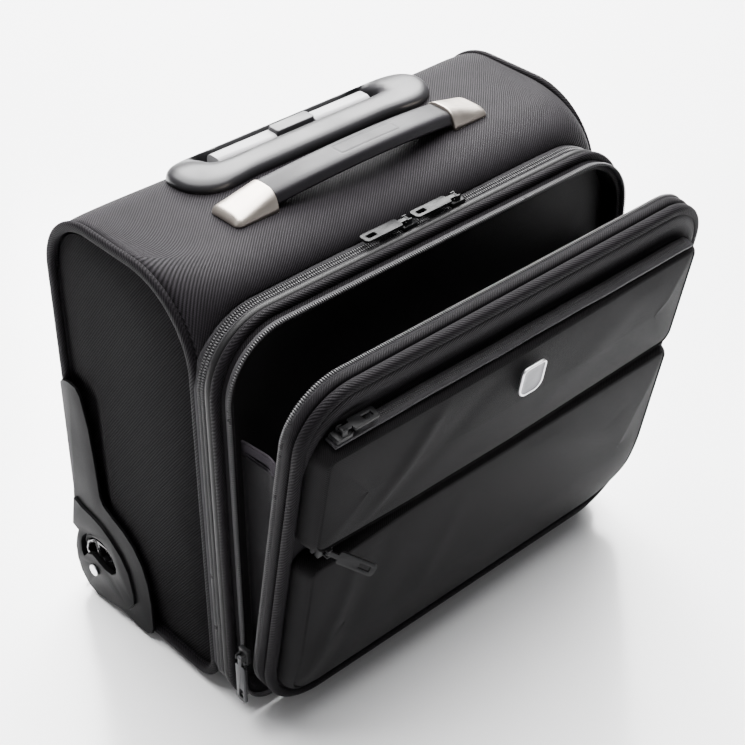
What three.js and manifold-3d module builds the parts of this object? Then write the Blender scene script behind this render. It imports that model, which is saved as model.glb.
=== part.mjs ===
// Rolling pilot flight case: soft-sided body with piped side panels, a zipped lid that carries
// a second zipped front panel, two corner wheels, a two-stage pull handle and a carry handle.
// Units are millimetres, +Z is up, the front of the case faces -Y.
// Lengths in y are measured from the plane of the main zip, and in z from the fabric bottom.

import * as THREE from 'three';
import { mergeVertices } from 'three/addons/utils/BufferGeometryUtils.js';
import Module from 'manifold-3d';

const wasm = await Module();
wasm.setup();

// ---------------------------------------------------------------- driving dimensions

const gap = 0.4; // clearance between neighbouring pieces
const halfWidth = 215; // side panel faces
const bodyHeight = 385; // fabric bottom to top panel
const backPlane = 192; // main zip to back panel
const frontEdge = 6; // where side, top and base panels start behind the zip
const floorDrop = 9; // fabric bottom above the floor
const centreShift = 34.3; // main zip plane to the middle of the whole depth

const wall = 8; // foam-backed panel thickness
const sidePanelThickness = 12;
const sideInner = halfWidth - sidePanelThickness;

const mouthTop = 362; // top of the main zip loop
const mouthTopRadius = 55;
const mouthBottomRadius = 30;
const sideTopFrontRadius = 72;
const sideTopRearRadius = 60;
const sideBottomFrontRadius = 27;
const sideBottomRearRadius = 30;

const zipHalf = 5.2; // one half of the main zip, tape and coil
const lidDepth = 28; // main zip to the front of the lid band
const lidFrontZipDepth = 3.2;
const bandWall = 6;

const panelTop = 363;
const panelTopRadius = 48;
const panelBottomRadius = 60;
const panelPlane = 32; // plane of the front panel's zip when shut
const panelBandDepth = 17;
const panelOpenAngle = 10; // degrees, as it stands with the gussets taut
const hingeHeight = 2;

const wheelRadius = 34;
const wheelY = 167;
const wheelZ = wheelRadius - floorDrop;
const wheelInnerX = 191;
const wheelOuterX = 215;
const hubRadius = 26;
const axleRadius = 4;
const wellRadius = 37;
const wellWall = 3;
const housingInnerX = 186;
const housingPlateX = 217;
const housingOuterX = 222;

const tubeX = 66;
const tubeY = 149;
const tubeBottom = 14;
const trayTubBottom = 352;
const gripBottom = 372;
const gripTop = 388;

// ---------------------------------------------------------------- finishes

const finishes = {
  twill: { color: 0x1c1b1e, roughness: 0.86, metalness: 0 },
  pocketCloth: { color: 0x161619, roughness: 0.8, metalness: 0 },
  lining: { color: 0x141318, roughness: 0.7, metalness: 0 },
  zip: { color: 0x121214, roughness: 0.45, metalness: 0 },
  housingPlastic: { color: 0x2c2c2f, roughness: 0.5, metalness: 0 },
  trayPlastic: { color: 0x87868b, roughness: 0.45, metalness: 0 },
  gripPlastic: { color: 0xc4c3c8, roughness: 0.4, metalness: 0 },
  buttonPlastic: { color: 0x3c3b40, roughness: 0.45, metalness: 0 },
  handleRubber: { color: 0x4a484d, roughness: 0.6, metalness: 0 },
  satinNickel: { color: 0xc2b8ad, roughness: 0.3, metalness: 0.9 },
  aluminium: { color: 0xa9abae, roughness: 0.35, metalness: 0.9 },
  steel: { color: 0x9a9b9e, roughness: 0.3, metalness: 1 },
  frameBoard: { color: 0x18181a, roughness: 0.6, metalness: 0 },
  wheelRubber: { color: 0x151516, roughness: 0.7, metalness: 0 },
  hubPlastic: { color: 0x1b1b1d, roughness: 0.4, metalness: 0 },
  gunmetal: { color: 0x2a2a2d, roughness: 0.3, metalness: 0.8 },
  badge: { color: 0xb0b0b4, roughness: 0.3, metalness: 0.8 },
};

const materials = {};
for (const [name, values] of Object.entries(finishes)) {
  materials[name] = new THREE.MeshStandardMaterial(values);
}

// ---------------------------------------------------------------- shape helpers

const flightCase = new THREE.Group();
const assembly = new THREE.Group();
assembly.position.set(0, -centreShift, floorDrop);
flightCase.add(assembly);

function addPiece(name, geometry, finish, parent = assembly) {
  const mesh = new THREE.Mesh(geometry, materials[finish]);
  mesh.name = name;
  parent.add(mesh);
  return mesh;
}

// A rounded rectangle from (u0, v0) to (u1, v1); the radii run from the lower left corner
// anticlockwise.
function roundedRect(u0, v0, u1, v1, radii, reverse = false, Kind = THREE.Shape) {
  const [a, b, c, d] = radii;
  const path = new Kind();
  if (reverse) {
    path.absarc(u0 + a, v0 + a, a, 1.5 * Math.PI, Math.PI, true);
    path.absarc(u0 + d, v1 - d, d, Math.PI, 0.5 * Math.PI, true);
    path.absarc(u1 - c, v1 - c, c, 0.5 * Math.PI, 0, true);
    path.absarc(u1 - b, v0 + b, b, 2 * Math.PI, 1.5 * Math.PI, true);
    return path;
  }
  path.absarc(u0 + a, v0 + a, a, Math.PI, 1.5 * Math.PI, false);
  path.absarc(u1 - b, v0 + b, b, 1.5 * Math.PI, 2 * Math.PI, false);
  path.absarc(u1 - c, v1 - c, c, 0, 0.5 * Math.PI, false);
  path.absarc(u0 + d, v1 - d, d, 0.5 * Math.PI, Math.PI, false);
  return path;
}

// A hoop: the rounded rectangle with a smaller one cut out of it.
function hoop(u0, v0, u1, v1, radii, width) {
  const inner = radii.map((radius) => Math.max(radius - width, 1));
  const shape = roundedRect(u0, v0, u1, v1, radii);
  shape.holes.push(
    roundedRect(u0 + width, v0 + width, u1 - width, v1 - width, inner, true, THREE.Path),
  );
  return shape;
}

function extrude(shape, depth, curveSegments = 4) {
  return new THREE.ExtrudeGeometry(shape, { depth, bevelEnabled: false, curveSegments });
}

// Shape drawn in (y, z), carried along x.
function alongX(shape, x0, x1, curveSegments) {
  const turn = new THREE.Matrix4().set(0, 0, 1, x0, 1, 0, 0, 0, 0, 1, 0, 0, 0, 0, 0, 1);
  return extrude(shape, x1 - x0, curveSegments).applyMatrix4(turn);
}

// Shape drawn in (x, z), carried along y.
function alongY(shape, y0, y1, curveSegments) {
  return extrude(shape, y1 - y0, curveSegments).rotateX(Math.PI / 2).translate(0, y1, 0);
}

// Shape drawn in (x, y), carried along z.
function alongZ(shape, z0, z1, curveSegments) {
  return extrude(shape, z1 - z0, curveSegments).translate(0, 0, z0);
}

function block(x0, y0, z0, x1, y1, z1) {
  const box = new THREE.BoxGeometry(x1 - x0, y1 - y0, z1 - z0);
  return box.translate((x0 + x1) / 2, (y0 + y1) / 2, (z0 + z1) / 2);
}

// A round bar along x.
function barX(x0, x1, y, z, radius, sides = 32) {
  const bar = new THREE.CylinderGeometry(radius, radius, x1 - x0, sides);
  return bar.rotateZ(Math.PI / 2).translate((x0 + x1) / 2, y, z);
}

function solidOf(geometry) {
  const bare = geometry.clone();
  bare.deleteAttribute('normal');
  bare.deleteAttribute('uv');
  const merged = mergeVertices(bare, 1e-4);
  return new wasm.Manifold(
    new wasm.Mesh({
      numProp: 3,
      vertProperties: new Float32Array(merged.attributes.position.array),
      triVerts: new Uint32Array(merged.index.array),
    }),
  );
}

function geometryOf(solid) {
  const mesh = solid.getMesh();
  const geometry = new THREE.BufferGeometry();
  geometry.setAttribute('position', new THREE.BufferAttribute(mesh.vertProperties, 3));
  geometry.setIndex(new THREE.BufferAttribute(mesh.triVerts, 1));
  return geometry;
}

function joined(...geometries) {
  return geometryOf(geometries.map(solidOf).reduce((sum, solid) => sum.add(solid)));
}

function cut(geometry, ...tools) {
  return geometryOf(tools.map(solidOf).reduce((rest, tool) => rest.subtract(tool), solidOf(geometry)));
}

function common(geometry, other) {
  return geometryOf(solidOf(geometry).intersect(solidOf(other)));
}

function mirroredX(geometry) {
  const copy = geometry.clone().scale(-1, 1, 1);
  const index = copy.index ? Array.from(copy.index.array) : [...Array(copy.attributes.position.count).keys()];
  for (let i = 0; i < index.length; i += 3) {
    [index[i], index[i + 1]] = [index[i + 1], index[i]];
  }
  copy.setIndex(index);
  return copy;
}

// Skins a row of equal-length closed loops of points and caps both ends.
function loft(sections) {
  const count = sections[0].length;
  const positions = sections.flat().flatMap((point) => [point.x, point.y, point.z]);
  const index = [];
  for (let s = 0; s + 1 < sections.length; s++) {
    for (let i = 0; i < count; i++) {
      const a = s * count + i;
      const b = s * count + ((i + 1) % count);
      index.push(a, b, b + count, a, b + count, a + count);
    }
  }
  const flat = sections[0].map((point) => new THREE.Vector2(point.y, point.z));
  const last = (sections.length - 1) * count;
  for (const [a, b, c] of THREE.ShapeUtils.triangulateShape(flat, [])) {
    index.push(a, c, b, last + a, last + b, last + c);
  }
  const geometry = new THREE.BufferGeometry();
  geometry.setAttribute('position', new THREE.Float32BufferAttribute(positions, 3));
  geometry.setIndex(index);
  return geometry;
}

function pair(name, rightGeometry, finish, parent) {
  addPiece(`right_${name}`, rightGeometry, finish, parent);
  addPiece(`left_${name}`, mirroredX(rightGeometry), finish, parent);
}

// The space that the wheel and its well take out of the soft panels, on the right side.
const wellCut = barX(housingInnerX - gap, halfWidth + 3, wheelY, wheelZ, wellRadius + wellWall + gap, 40);
const bothWellCuts = [wellCut, mirroredX(wellCut)];

// ---------------------------------------------------------------- side panels and piping

const sideRadii = [sideBottomFrontRadius, sideBottomRearRadius, sideTopRearRadius, sideTopFrontRadius];
const sideOutline = roundedRect(frontEdge, 0, backPlane, bodyHeight, sideRadii);
pair('side_panel', cut(alongX(sideOutline, sideInner + gap, halfWidth - 4, 5), wellCut), 'twill');

const pipingWidth = 8;
const pipingOutline = hoop(frontEdge, 0, backPlane, bodyHeight, sideRadii, pipingWidth);
const sidePiping = alongX(pipingOutline, halfWidth - 4 + gap, halfWidth + 2 - gap, 5);
pair('side_piping', cut(sidePiping, wellCut), 'twill');

// ---------------------------------------------------------------- top, back and base panels

// Height of the mouth outline at a given x: flat in the middle, round at the corners.
function mouthHeight(x) {
  const past = Math.max(Math.abs(x) - (halfWidth - mouthTopRadius), 0);
  return mouthTop - mouthTopRadius + Math.sqrt(mouthTopRadius ** 2 - past ** 2);
}

// Closed (y, z) outline of the top panel at x: it dips to the mouth in front, runs level, and
// turns down over the back edge.
function topSection(x) {
  const steps = 6;
  const front = mouthHeight(x);
  const drop = bodyHeight - front;
  const run = 40 + 1.2 * (mouthTop - front);
  const outer = [];
  const inner = [];
  for (let i = 0; i <= steps; i++) {
    const t = (i / steps) * (Math.PI / 2);
    const y = frontEdge + run * (1 - Math.cos(t));
    const z = front + drop * Math.sin(t);
    outer.push(new THREE.Vector3(x, y, z));
    inner.push(new THREE.Vector3(x, y, z - wall));
  }
  const centreY = backPlane - sideTopRearRadius;
  const centreZ = bodyHeight - sideTopRearRadius;
  for (let i = 0; i <= steps; i++) {
    const t = (i / steps) * (Math.PI / 2);
    const outwards = new THREE.Vector3(0, Math.sin(t), Math.cos(t));
    const centre = new THREE.Vector3(x, centreY, centreZ);
    outer.push(centre.clone().addScaledVector(outwards, sideTopRearRadius));
    inner.push(centre.clone().addScaledVector(outwards, sideTopRearRadius - wall));
  }
  return [...inner, ...outer.reverse()];
}

const cornerX = halfWidth - mouthTopRadius;
const topStations = [-sideInner, -195, -185, -172, -cornerX, -80, 0, 80, cornerX, 172, 185, 195, sideInner];
const tubHalf = 93;
const tubFront = 135;
const tubBack = 168;
const trayHole = block(-tubHalf - gap, tubFront - gap, 330, tubHalf + gap, tubBack + gap, 400);
addPiece('top_panel', cut(loft(topStations.map(topSection)), trayHole), 'twill');

const baseTop = 65.6;
addPiece(
  'back_panel',
  block(-sideInner, backPlane - wall, baseTop + gap, sideInner, backPlane, bodyHeight - sideTopRearRadius - gap),
  'twill',
);

function baseOutline() {
  const shape = new THREE.Shape();
  const front = frontEdge + sideBottomFrontRadius;
  const back = backPlane - sideBottomRearRadius;
  shape.absarc(front, sideBottomFrontRadius, sideBottomFrontRadius, Math.PI, 1.5 * Math.PI, false);
  shape.absarc(back, sideBottomRearRadius, sideBottomRearRadius, 1.5 * Math.PI, 2 * Math.PI, false);
  shape.lineTo(backPlane, baseTop);
  shape.lineTo(backPlane - wall, baseTop);
  shape.absarc(back, sideBottomRearRadius, sideBottomRearRadius - wall, 2 * Math.PI, 1.5 * Math.PI, true);
  shape.absarc(front, sideBottomFrontRadius, sideBottomFrontRadius - wall, 1.5 * Math.PI, Math.PI, true);
  return shape;
}
addPiece('base_panel', cut(alongX(baseOutline(), -sideInner, sideInner), ...bothWellCuts), 'twill');

const hoopInset = gap;
const hoopOutline = hoop(
  -sideInner + hoopInset, wall + gap, sideInner - hoopInset, mouthTop + 4, [22, 22, 40, 40], 5,
);
addPiece('frame_hoop', alongY(hoopOutline, 36, 48), 'frameBoard');

// ---------------------------------------------------------------- main zip, body half

const mouthRadii = [mouthBottomRadius, mouthBottomRadius, mouthTopRadius, mouthTopRadius];
const zipOutline = hoop(-halfWidth, 0, halfWidth, mouthTop, mouthRadii, 8);
addPiece('main_zip_body_half', alongY(zipOutline, gap / 2, zipHalf), 'zip');

// ---------------------------------------------------------------- wheels in their housings

function outline(points) {
  return new THREE.Shape(points.map(([a, b]) => new THREE.Vector2(a, b)));
}

// Outer plate of the right housing in (y, z): a strip up the back edge that widens into a
// cover over the wheel and a foot in front of it.
const plateOutline = outline([
  [190, 105], [189, 216], [186, 220], [176, 222], [167, 221], [162, 215], [155, 186], [151.5, 145],
  [150, 117], [146, 109], [134, 103], [120, 97.5], [107, 88.5], [97, 75], [91, 58], [88.5, 36],
  [89, 8], [92, 0], [98, -4], [110, -5.5], [131, -3], [150, -2], [168, -5], [181, -1], [190, 9],
  [194, 22], [194, 36], [191, 48], [187, 58], [195, 61],
].reverse());

// Raised cover over the wheel, up to the crease that runs down in front of it.
const coverOutline = outline([
  [188, 94], [177, 90], [164, 88.5], [150, 85], [137, 78], [124, 68], [115, 55], [110.5, 34],
  [111, 22], [120, 10], [134, 2], [150, -2], [168, -5], [181, -1], [190, 9], [194, 22], [194, 36],
  [191, 48], [187, 58], [195, 61],
].reverse());

// Window through the cover, above the axle, where the spokes of the hub show.
const windowOutline = outline([
  [182, 54], [175, 62], [166, 67], [156, 67.5], [146, 66], [138, 60], [133, 49], [134, 42],
  [141, 36], [152, 35.5], [162, 39], [169, 41], [177, 37], [183, 30], [185.5, 36], [185, 46],
].reverse());

function wheelHousing() {
  const plate = alongX(plateOutline, housingPlateX, housingOuterX - 2.6);
  const cover = alongX(coverOutline, housingPlateX, housingOuterX);
  const window = alongX(windowOutline, housingPlateX - 1, housingOuterX + 1);
  const wellOuter = barX(housingInnerX, housingPlateX + 1, wheelY, wheelZ, wellRadius + wellWall, 36);
  const wellInner = barX(housingInnerX + wellWall, housingPlateX + 2, wheelY, wheelZ, wellRadius, 36);
  const belowAndBehind = joined(
    block(housingInnerX - 1, 100, -40, housingPlateX + 3, 230, -3),
    block(housingInnerX - 1, backPlane + 2, -40, housingPlateX + 3, 230, 90),
  );
  const well = cut(wellOuter, wellInner, belowAndBehind);
  const axleHole = barX(housingInnerX - 2, housingOuterX + 2, wheelY, wheelZ, axleRadius + gap, 20);
  const clearPanels = block(housingInnerX - 2, 80, -20, housingPlateX - 0.01, 120, 240);
  return cut(joined(cut(joined(plate, cover), window), well), axleHole, clearPanels);
}
pair('wheel_housing', wheelHousing(), 'housingPlastic');

const axleHead = barX(housingOuterX + gap, housingOuterX + 2.3, wheelY, wheelZ, 5.5, 20);
const axlePin = barX(housingInnerX - 1, housingOuterX + 1, wheelY, wheelZ, axleRadius, 20);
pair('axle', joined(axlePin, axleHead), 'steel');

function tyreGeometry() {
  const half = (wheelOuterX - wheelInnerX) / 2;
  const inner = hubRadius + gap;
  const shoulder = wheelRadius - 4;
  const profile = [
    [inner, -half + 2],
    [shoulder, -half],
    [wheelRadius - 1, -half + 4],
    [wheelRadius, 0],
    [wheelRadius - 1, half - 4],
    [shoulder, half],
    [inner, half - 2],
    [inner, -half + 2],
  ].map(([radius, height]) => new THREE.Vector2(radius, height));
  const tyre = new THREE.LatheGeometry(profile, 32).rotateZ(Math.PI / 2);
  return tyre.translate((wheelOuterX + wheelInnerX) / 2, wheelY, wheelZ);
}

function hubGeometry() {
  const spokes = 5;
  const shape = new THREE.Shape();
  shape.absarc(0, 0, hubRadius, 0, 2 * Math.PI, false);
  const bore = new THREE.Path();
  bore.absarc(0, 0, axleRadius + gap, 0, 2 * Math.PI, true);
  shape.holes.push(bore);
  for (let k = 0; k < spokes; k++) {
    const from = (k / spokes) * 2 * Math.PI + 0.16;
    const to = ((k + 1) / spokes) * 2 * Math.PI - 0.16;
    const window = new THREE.Path();
    window.absarc(0, 0, hubRadius - 4, to, from, true);
    window.absarc(0, 0, 9.5, from + 0.12, to - 0.12, false);
    window.closePath();
    shape.holes.push(window);
  }
  return alongX(shape, wheelInnerX + 3, wheelOuterX - 1.5, 5).translate(0, wheelY, wheelZ);
}
pair('tyre', tyreGeometry(), 'wheelRubber');
pair('hub', hubGeometry(), 'hubPlastic');

// ---------------------------------------------------------------- feet under the front edge

const footX = 150;
const footY = 34;
const foot = new THREE.CylinderGeometry(13, 10, floorDrop - gap, 24)
  .rotateX(Math.PI / 2)
  .translate(footX, footY, -(floorDrop + gap) / 2);
pair('foot', foot, 'handleRubber');

// ---------------------------------------------------------------- pull handle tray

// Outline in (x, y): two round lobes joined by a broad bar, straight along the back.
function trayOutline() {
  const lobe = 31;
  const lobeX = 99;
  const middleY = 135;
  const waistY = 106.5;
  const shape = new THREE.Shape();
  shape.absarc(-lobeX, middleY, lobe, 0.5 * Math.PI, 1.5 * Math.PI, false);
  shape.bezierCurveTo(-84, middleY - lobe, -80, waistY, -62, waistY);
  shape.lineTo(62, waistY);
  shape.bezierCurveTo(80, waistY, 84, middleY - lobe, lobeX, middleY - lobe);
  shape.absarc(lobeX, middleY, lobe, 1.5 * Math.PI, 2.5 * Math.PI, false);
  shape.lineTo(lobeX - 14, 171);
  shape.lineTo(-lobeX + 14, 171);
  return shape;
}

// Filled outline of the top of the body in (y, z), grown outwards by a margin.
function grownTop(margin) {
  const shape = new THREE.Shape();
  const centreY = backPlane - sideTopRearRadius;
  const centreZ = bodyHeight - sideTopRearRadius;
  shape.moveTo(90, 300);
  shape.lineTo(backPlane + margin, 300);
  shape.absarc(centreY, centreZ, sideTopRearRadius + margin, 0, 0.5 * Math.PI, false);
  shape.lineTo(90, bodyHeight + margin);
  return shape;
}

const trayRise = 9;
const recessHalf = 90;
const recess = block(-recessHalf, tubFront + 2, trayTubBottom + 3, recessHalf, tubBack - 2, 400);
function trolleyTray() {
  const bezel = cut(
    common(alongZ(trayOutline(), 340, 400, 10), alongX(grownTop(trayRise), -140, 140, 8)),
    alongX(grownTop(gap), -141, 141, 8),
  );
  const tub = common(
    block(-tubHalf, tubFront, trayTubBottom, tubHalf, tubBack, 395),
    alongX(grownTop(6), -140, 140, 8),
  );
  const tubeHoles = [-tubeX, tubeX].map((x) => block(x - 12.4, tubeY - 9.4, 340, x + 12.4, tubeY + 9.4, 362));
  return cut(joined(bezel, tub), recess, ...tubeHoles);
}
addPiece('trolley_tray', trolleyTray(), 'trayPlastic');

// ---------------------------------------------------------------- pull handle tubes and grip

function tube(x, halfX, halfY, z0, z1, thickness = 1.3) {
  const shape = hoop(x - halfX, tubeY - halfY, x + halfX, tubeY + halfY, [3, 3, 3, 3], thickness);
  return alongZ(shape, z0, z1, 1);
}
pair('outer_tube', tube(tubeX, 14, 11, tubeBottom, trayTubBottom - gap), 'aluminium');
pair('middle_tube', tube(tubeX, 12, 9, tubeBottom + 6, gripBottom - 5), 'aluminium');
pair('inner_tube', tube(tubeX, 10, 7, tubeBottom + 12, gripBottom - gap), 'aluminium');

const liningHalf = 183; // between the wheel wells
const bracket = block(-84, tubeY - 13, wall + gap, 84, tubeY + 13, tubeBottom - gap);
addPiece('tube_foot_bracket', bracket, 'frameBoard');
const liningBoard = block(-liningHalf, 130, wall + gap, liningHalf, 132, trayTubBottom - 4);
addPiece('back_lining_panel', liningBoard, 'lining');

const gripHalf = 80;
const gripFront = 140;
const gripBack = 158;
const buttonHalf = 20;
const gripBar = alongX(
  roundedRect(gripFront, gripBottom, gripBack, gripTop, [4, 4, 6, 6]), -gripHalf, gripHalf, 4,
);
const buttonWell = block(-buttonHalf - gap, 142 - gap, 378, buttonHalf + gap, 155 + gap, 395);
addPiece('trolley_grip', cut(gripBar, buttonWell), 'gripPlastic');
const buttonOutline = roundedRect(-buttonHalf, 142, buttonHalf, 155, [3, 3, 3, 3]);
addPiece('grip_button', alongZ(buttonOutline, 382, 391, 3), 'buttonPlastic');

// ---------------------------------------------------------------- carry handle

const handleHalf = 131;
const handleFront = 55;
const handleBack = 89;
const handleRise = 22;
const handleFoot = bodyHeight + 3;
const capInner = 92;
const handleLean = 10; // the arch leans forward by this much in its middle

// Height of the handle's upper face at x, a shallow arch.
function archHeight(x) {
  return handleFoot + handleRise * (1 - (x / handleHalf) ** 2);
}

// Arched strip in (x, z) between two offsets below the upper face.
function archStrip(x0, x1, upper, lower, steps = 12) {
  const points = [];
  for (let i = 0; i <= steps; i++) {
    const x = x0 + ((x1 - x0) * i) / steps;
    points.push(new THREE.Vector2(x, archHeight(x) - lower));
  }
  for (let i = steps; i >= 0; i--) {
    const x = x0 + ((x1 - x0) * i) / steps;
    points.push(new THREE.Vector2(x, archHeight(x) - upper));
  }
  return new THREE.Shape(points);
}

// Shifts the middle of the arch forward, and leaves what lies past the caps' inner ends.
function leaned(geometry) {
  const place = geometry.attributes.position;
  for (let i = 0; i < place.count; i++) {
    const share = Math.max(1 - (place.getX(i) / capInner) ** 2, 0);
    place.setY(i, place.getY(i) - handleLean * share);
  }
  return geometry;
}

const strapHalfWidth = 10;
const strapPlay = 2.8; // the leaning strap needs room beside it
const handleMiddle = (handleFront + handleBack) / 2;
const strapEnd = 112;
const strapSlot = alongY(
  archStrip(-strapEnd - 1, strapEnd + 1, 4.3, 7.7),
  handleMiddle - strapHalfWidth - strapPlay,
  handleMiddle + strapHalfWidth + strapPlay,
);
const gripArch = alongY(archStrip(-capInner, capInner, 0, 11), handleFront + 1, handleBack - 1);
addPiece('carry_handle_grip', leaned(cut(gripArch, strapSlot)), 'handleRubber');
const strap = alongY(
  archStrip(-strapEnd, strapEnd, 5, 7), handleMiddle - strapHalfWidth, handleMiddle + strapHalfWidth,
);
addPiece('carry_handle_strap', leaned(strap), 'steel');

function handleCap() {
  const shape = new THREE.Shape();
  shape.moveTo(capInner + gap, archHeight(capInner) - 14);
  shape.lineTo(handleHalf - 16, bodyHeight + gap);
  shape.lineTo(handleHalf, bodyHeight + gap);
  shape.quadraticCurveTo(handleHalf + 2, handleFoot - 1, handleHalf - 3, handleFoot + 2);
  shape.lineTo(capInner + gap, archHeight(capInner) + 1);
  const section = outline([
    [handleFront - 2, bodyHeight - 4], [handleBack + 2, bodyHeight - 4], [handleBack + 2, handleFoot],
    [handleBack - 6, 404], [handleFront + 5, 404], [handleFront - 2, handleFoot],
  ]);
  const wedge = alongY(shape, handleFront - 3, handleBack + 3, 4);
  return cut(common(wedge, alongX(section, capInner, handleHalf + 4)), strapSlot);
}
pair('carry_handle_cap', handleCap(), 'satinNickel');

// ---------------------------------------------------------------- lid

addPiece('main_zip_lid_half', alongY(zipOutline, -zipHalf, -gap / 2), 'zip');

const lidInset = 2;
const lidRadii = mouthRadii.map((radius) => radius - lidInset);
const lidOutline = hoop(
  -halfWidth + lidInset, lidInset, halfWidth - lidInset, mouthTop - lidInset, lidRadii, bandWall,
);
addPiece('lid_band', alongY(lidOutline, -lidDepth, -zipHalf - gap), 'twill');

const pipingRadii = mouthRadii.map((radius) => radius + 1);
const lidPipingOutline = hoop(
  -halfWidth - 1, -1, halfWidth + 1, mouthTop + 1, pipingRadii, lidInset + 1 - gap,
);
addPiece('lid_piping', alongY(lidPipingOutline, -21, -13), 'twill');

const lidZipOutline = hoop(
  -halfWidth + lidInset, lidInset, halfWidth - lidInset, mouthTop - lidInset, lidRadii, 8,
);
addPiece('front_zip_lid_half', alongY(lidZipOutline, -lidDepth - lidFrontZipDepth, -lidDepth - gap), 'zip');

const dividerInset = lidInset + bandWall + gap;
const dividerRadii = mouthRadii.map((radius) => radius - dividerInset);
const dividerOutline = roundedRect(
  -halfWidth + dividerInset, dividerInset, halfWidth - dividerInset, mouthTop - dividerInset, dividerRadii,
);
addPiece('lid_divider', alongY(dividerOutline, -11, -8), 'lining');

// ---------------------------------------------------------------- front panel, built shut

const frontPanel = new THREE.Group();
frontPanel.position.set(0, -panelPlane, hingeHeight);
frontPanel.rotation.x = THREE.MathUtils.degToRad(panelOpenAngle);
assembly.add(frontPanel);

// Inside the front panel y is measured from its zip plane and z from the hinge.
const panelBottom = 8;
const panelHigh = panelTop - hingeHeight;
const panelRadii = [panelBottomRadius, panelBottomRadius, panelTopRadius, panelTopRadius];
const panelZipDepth = 4;
const panelZipOutline = hoop(-halfWidth + 1, panelBottom + 1, halfWidth - 1, panelHigh - 1, panelRadii, 8);
addPiece('front_zip_panel_half', alongY(panelZipOutline, -panelZipDepth, -gap), 'zip', frontPanel);

const panelBandOutline = hoop(-halfWidth, panelBottom, halfWidth, panelHigh, panelRadii, bandWall);
addPiece('panel_band', alongY(panelBandOutline, -panelBandDepth, -panelZipDepth - gap), 'twill', frontPanel);

const boardInset = bandWall + gap;
const boardThickness = 6;
const boardRadii = panelRadii.map((radius) => radius - boardInset);
const boardOutline = roundedRect(
  -halfWidth + boardInset, panelBottom + boardInset, halfWidth - boardInset, panelHigh - boardInset, boardRadii,
);
const board = alongY(boardOutline, -panelBandDepth, -panelBandDepth + boardThickness);
addPiece('panel_board', board, 'pocketCloth', frontPanel);

const panelPipingWidth = 9;
const panelPipingDepth = 4.6;
const pocketFoot = -panelBandDepth - gap;
const panelPipingOutline = hoop(
  -halfWidth, panelBottom, halfWidth, panelHigh, panelRadii, panelPipingWidth,
);
addPiece(
  'panel_piping', alongY(panelPipingOutline, pocketFoot - panelPipingDepth, pocketFoot), 'twill', frontPanel,
);

// Pockets are pouches that stand off the board. A pouch keeps the part of its rounded outline
// that lies inside both its side profile and the crown that all pouches share.
const pocketHalf = 205;
const pocketDepth = 25;
const pocketEdge = 7; // rounding around the face of a pouch
const pocketCorner = 10;
const pocketLowerRadius = 50;
const pocketFace = pocketFoot - pocketDepth;
const crown = [[205, 0], [205, 7], [200, 18.6], [140, 24], [60, 25]];
const crownShape = new THREE.Shape([
  ...crown.map(([x, depth]) => new THREE.Vector2(x, pocketFoot - depth)),
  ...crown.toReversed().map(([x, depth]) => new THREE.Vector2(-x, pocketFoot - depth)),
].reverse());
function pocket(sideProfile, lowerRadius) {
  const heights = sideProfile.map(([, z]) => z);
  const z0 = Math.min(...heights);
  const z1 = Math.max(...heights);
  const outline = roundedRect(
    -pocketHalf, z0, pocketHalf, z1, [lowerRadius, lowerRadius, pocketCorner, pocketCorner],
  );
  const pouch = new THREE.ExtrudeGeometry(outline, {
    depth: pocketDepth - pocketEdge,
    bevelThickness: pocketEdge,
    bevelSize: pocketEdge,
    bevelOffset: -pocketEdge,
    bevelSegments: 2,
    curveSegments: 5,
  });
  const whole = pouch.rotateX(Math.PI / 2).translate(0, pocketFoot, 0);
  const crowned = common(whole, alongZ(crownShape, z0 - 1, z1 + 1));
  const side = new THREE.Shape(sideProfile.map(([depth, z]) => new THREE.Vector2(pocketFoot - depth, z)));
  return common(crowned, alongX(side, -halfWidth, halfWidth));
}
// Side profiles: distance off the board and height, from the foot of the face upwards.
const lowerPocketSide = [
  [0, 17.4], [4.6, 18], [11, 50], [18, 88], [22, 120], [25, 160], [25, 199], [21, 206], [0, 206],
];
const upperPocketTop = 322;
const upperPocketSide = [
  [0, 222], [21, 222], [25, 229], [25, 310], [19, upperPocketTop], [0, upperPocketTop],
];
addPiece('lower_pocket', pocket(lowerPocketSide, pocketLowerRadius), 'pocketCloth', frontPanel);
addPiece('upper_pocket', pocket(upperPocketSide, pocketCorner), 'pocketCloth', frontPanel);

// The lower zip stands on its tape between the pouches; the upper zip lies on the upper pouch.
const lowerZipHeight = 214;
const lowerZipFace = pocketFoot - 12;
const lowerZip = block(-197, lowerZipFace, lowerZipHeight - 3.5, 197, pocketFoot, lowerZipHeight + 3.5);
addPiece('lower_pocket_zip', lowerZip, 'zip', frontPanel);
const upperZipPlane = -28;
const upperZipTop = upperPocketTop + gap + 3;
const upperZip = block(
  -192, upperZipPlane - 4, upperPocketTop + gap, 192, upperZipPlane + 4, upperZipTop,
);
addPiece('upper_pocket_zip', upperZip, 'zip', frontPanel);

const badgeFace = pocketFace - gap;
const badgeOutline = roundedRect(-13, 276, 13, 306, [8, 8, 5, 5]);
addPiece('badge_plate', alongY(badgeOutline, badgeFace - 2.5, badgeFace, 4), 'badge', frontPanel);

// ---------------------------------------------------------------- gussets of the front panel

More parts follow.
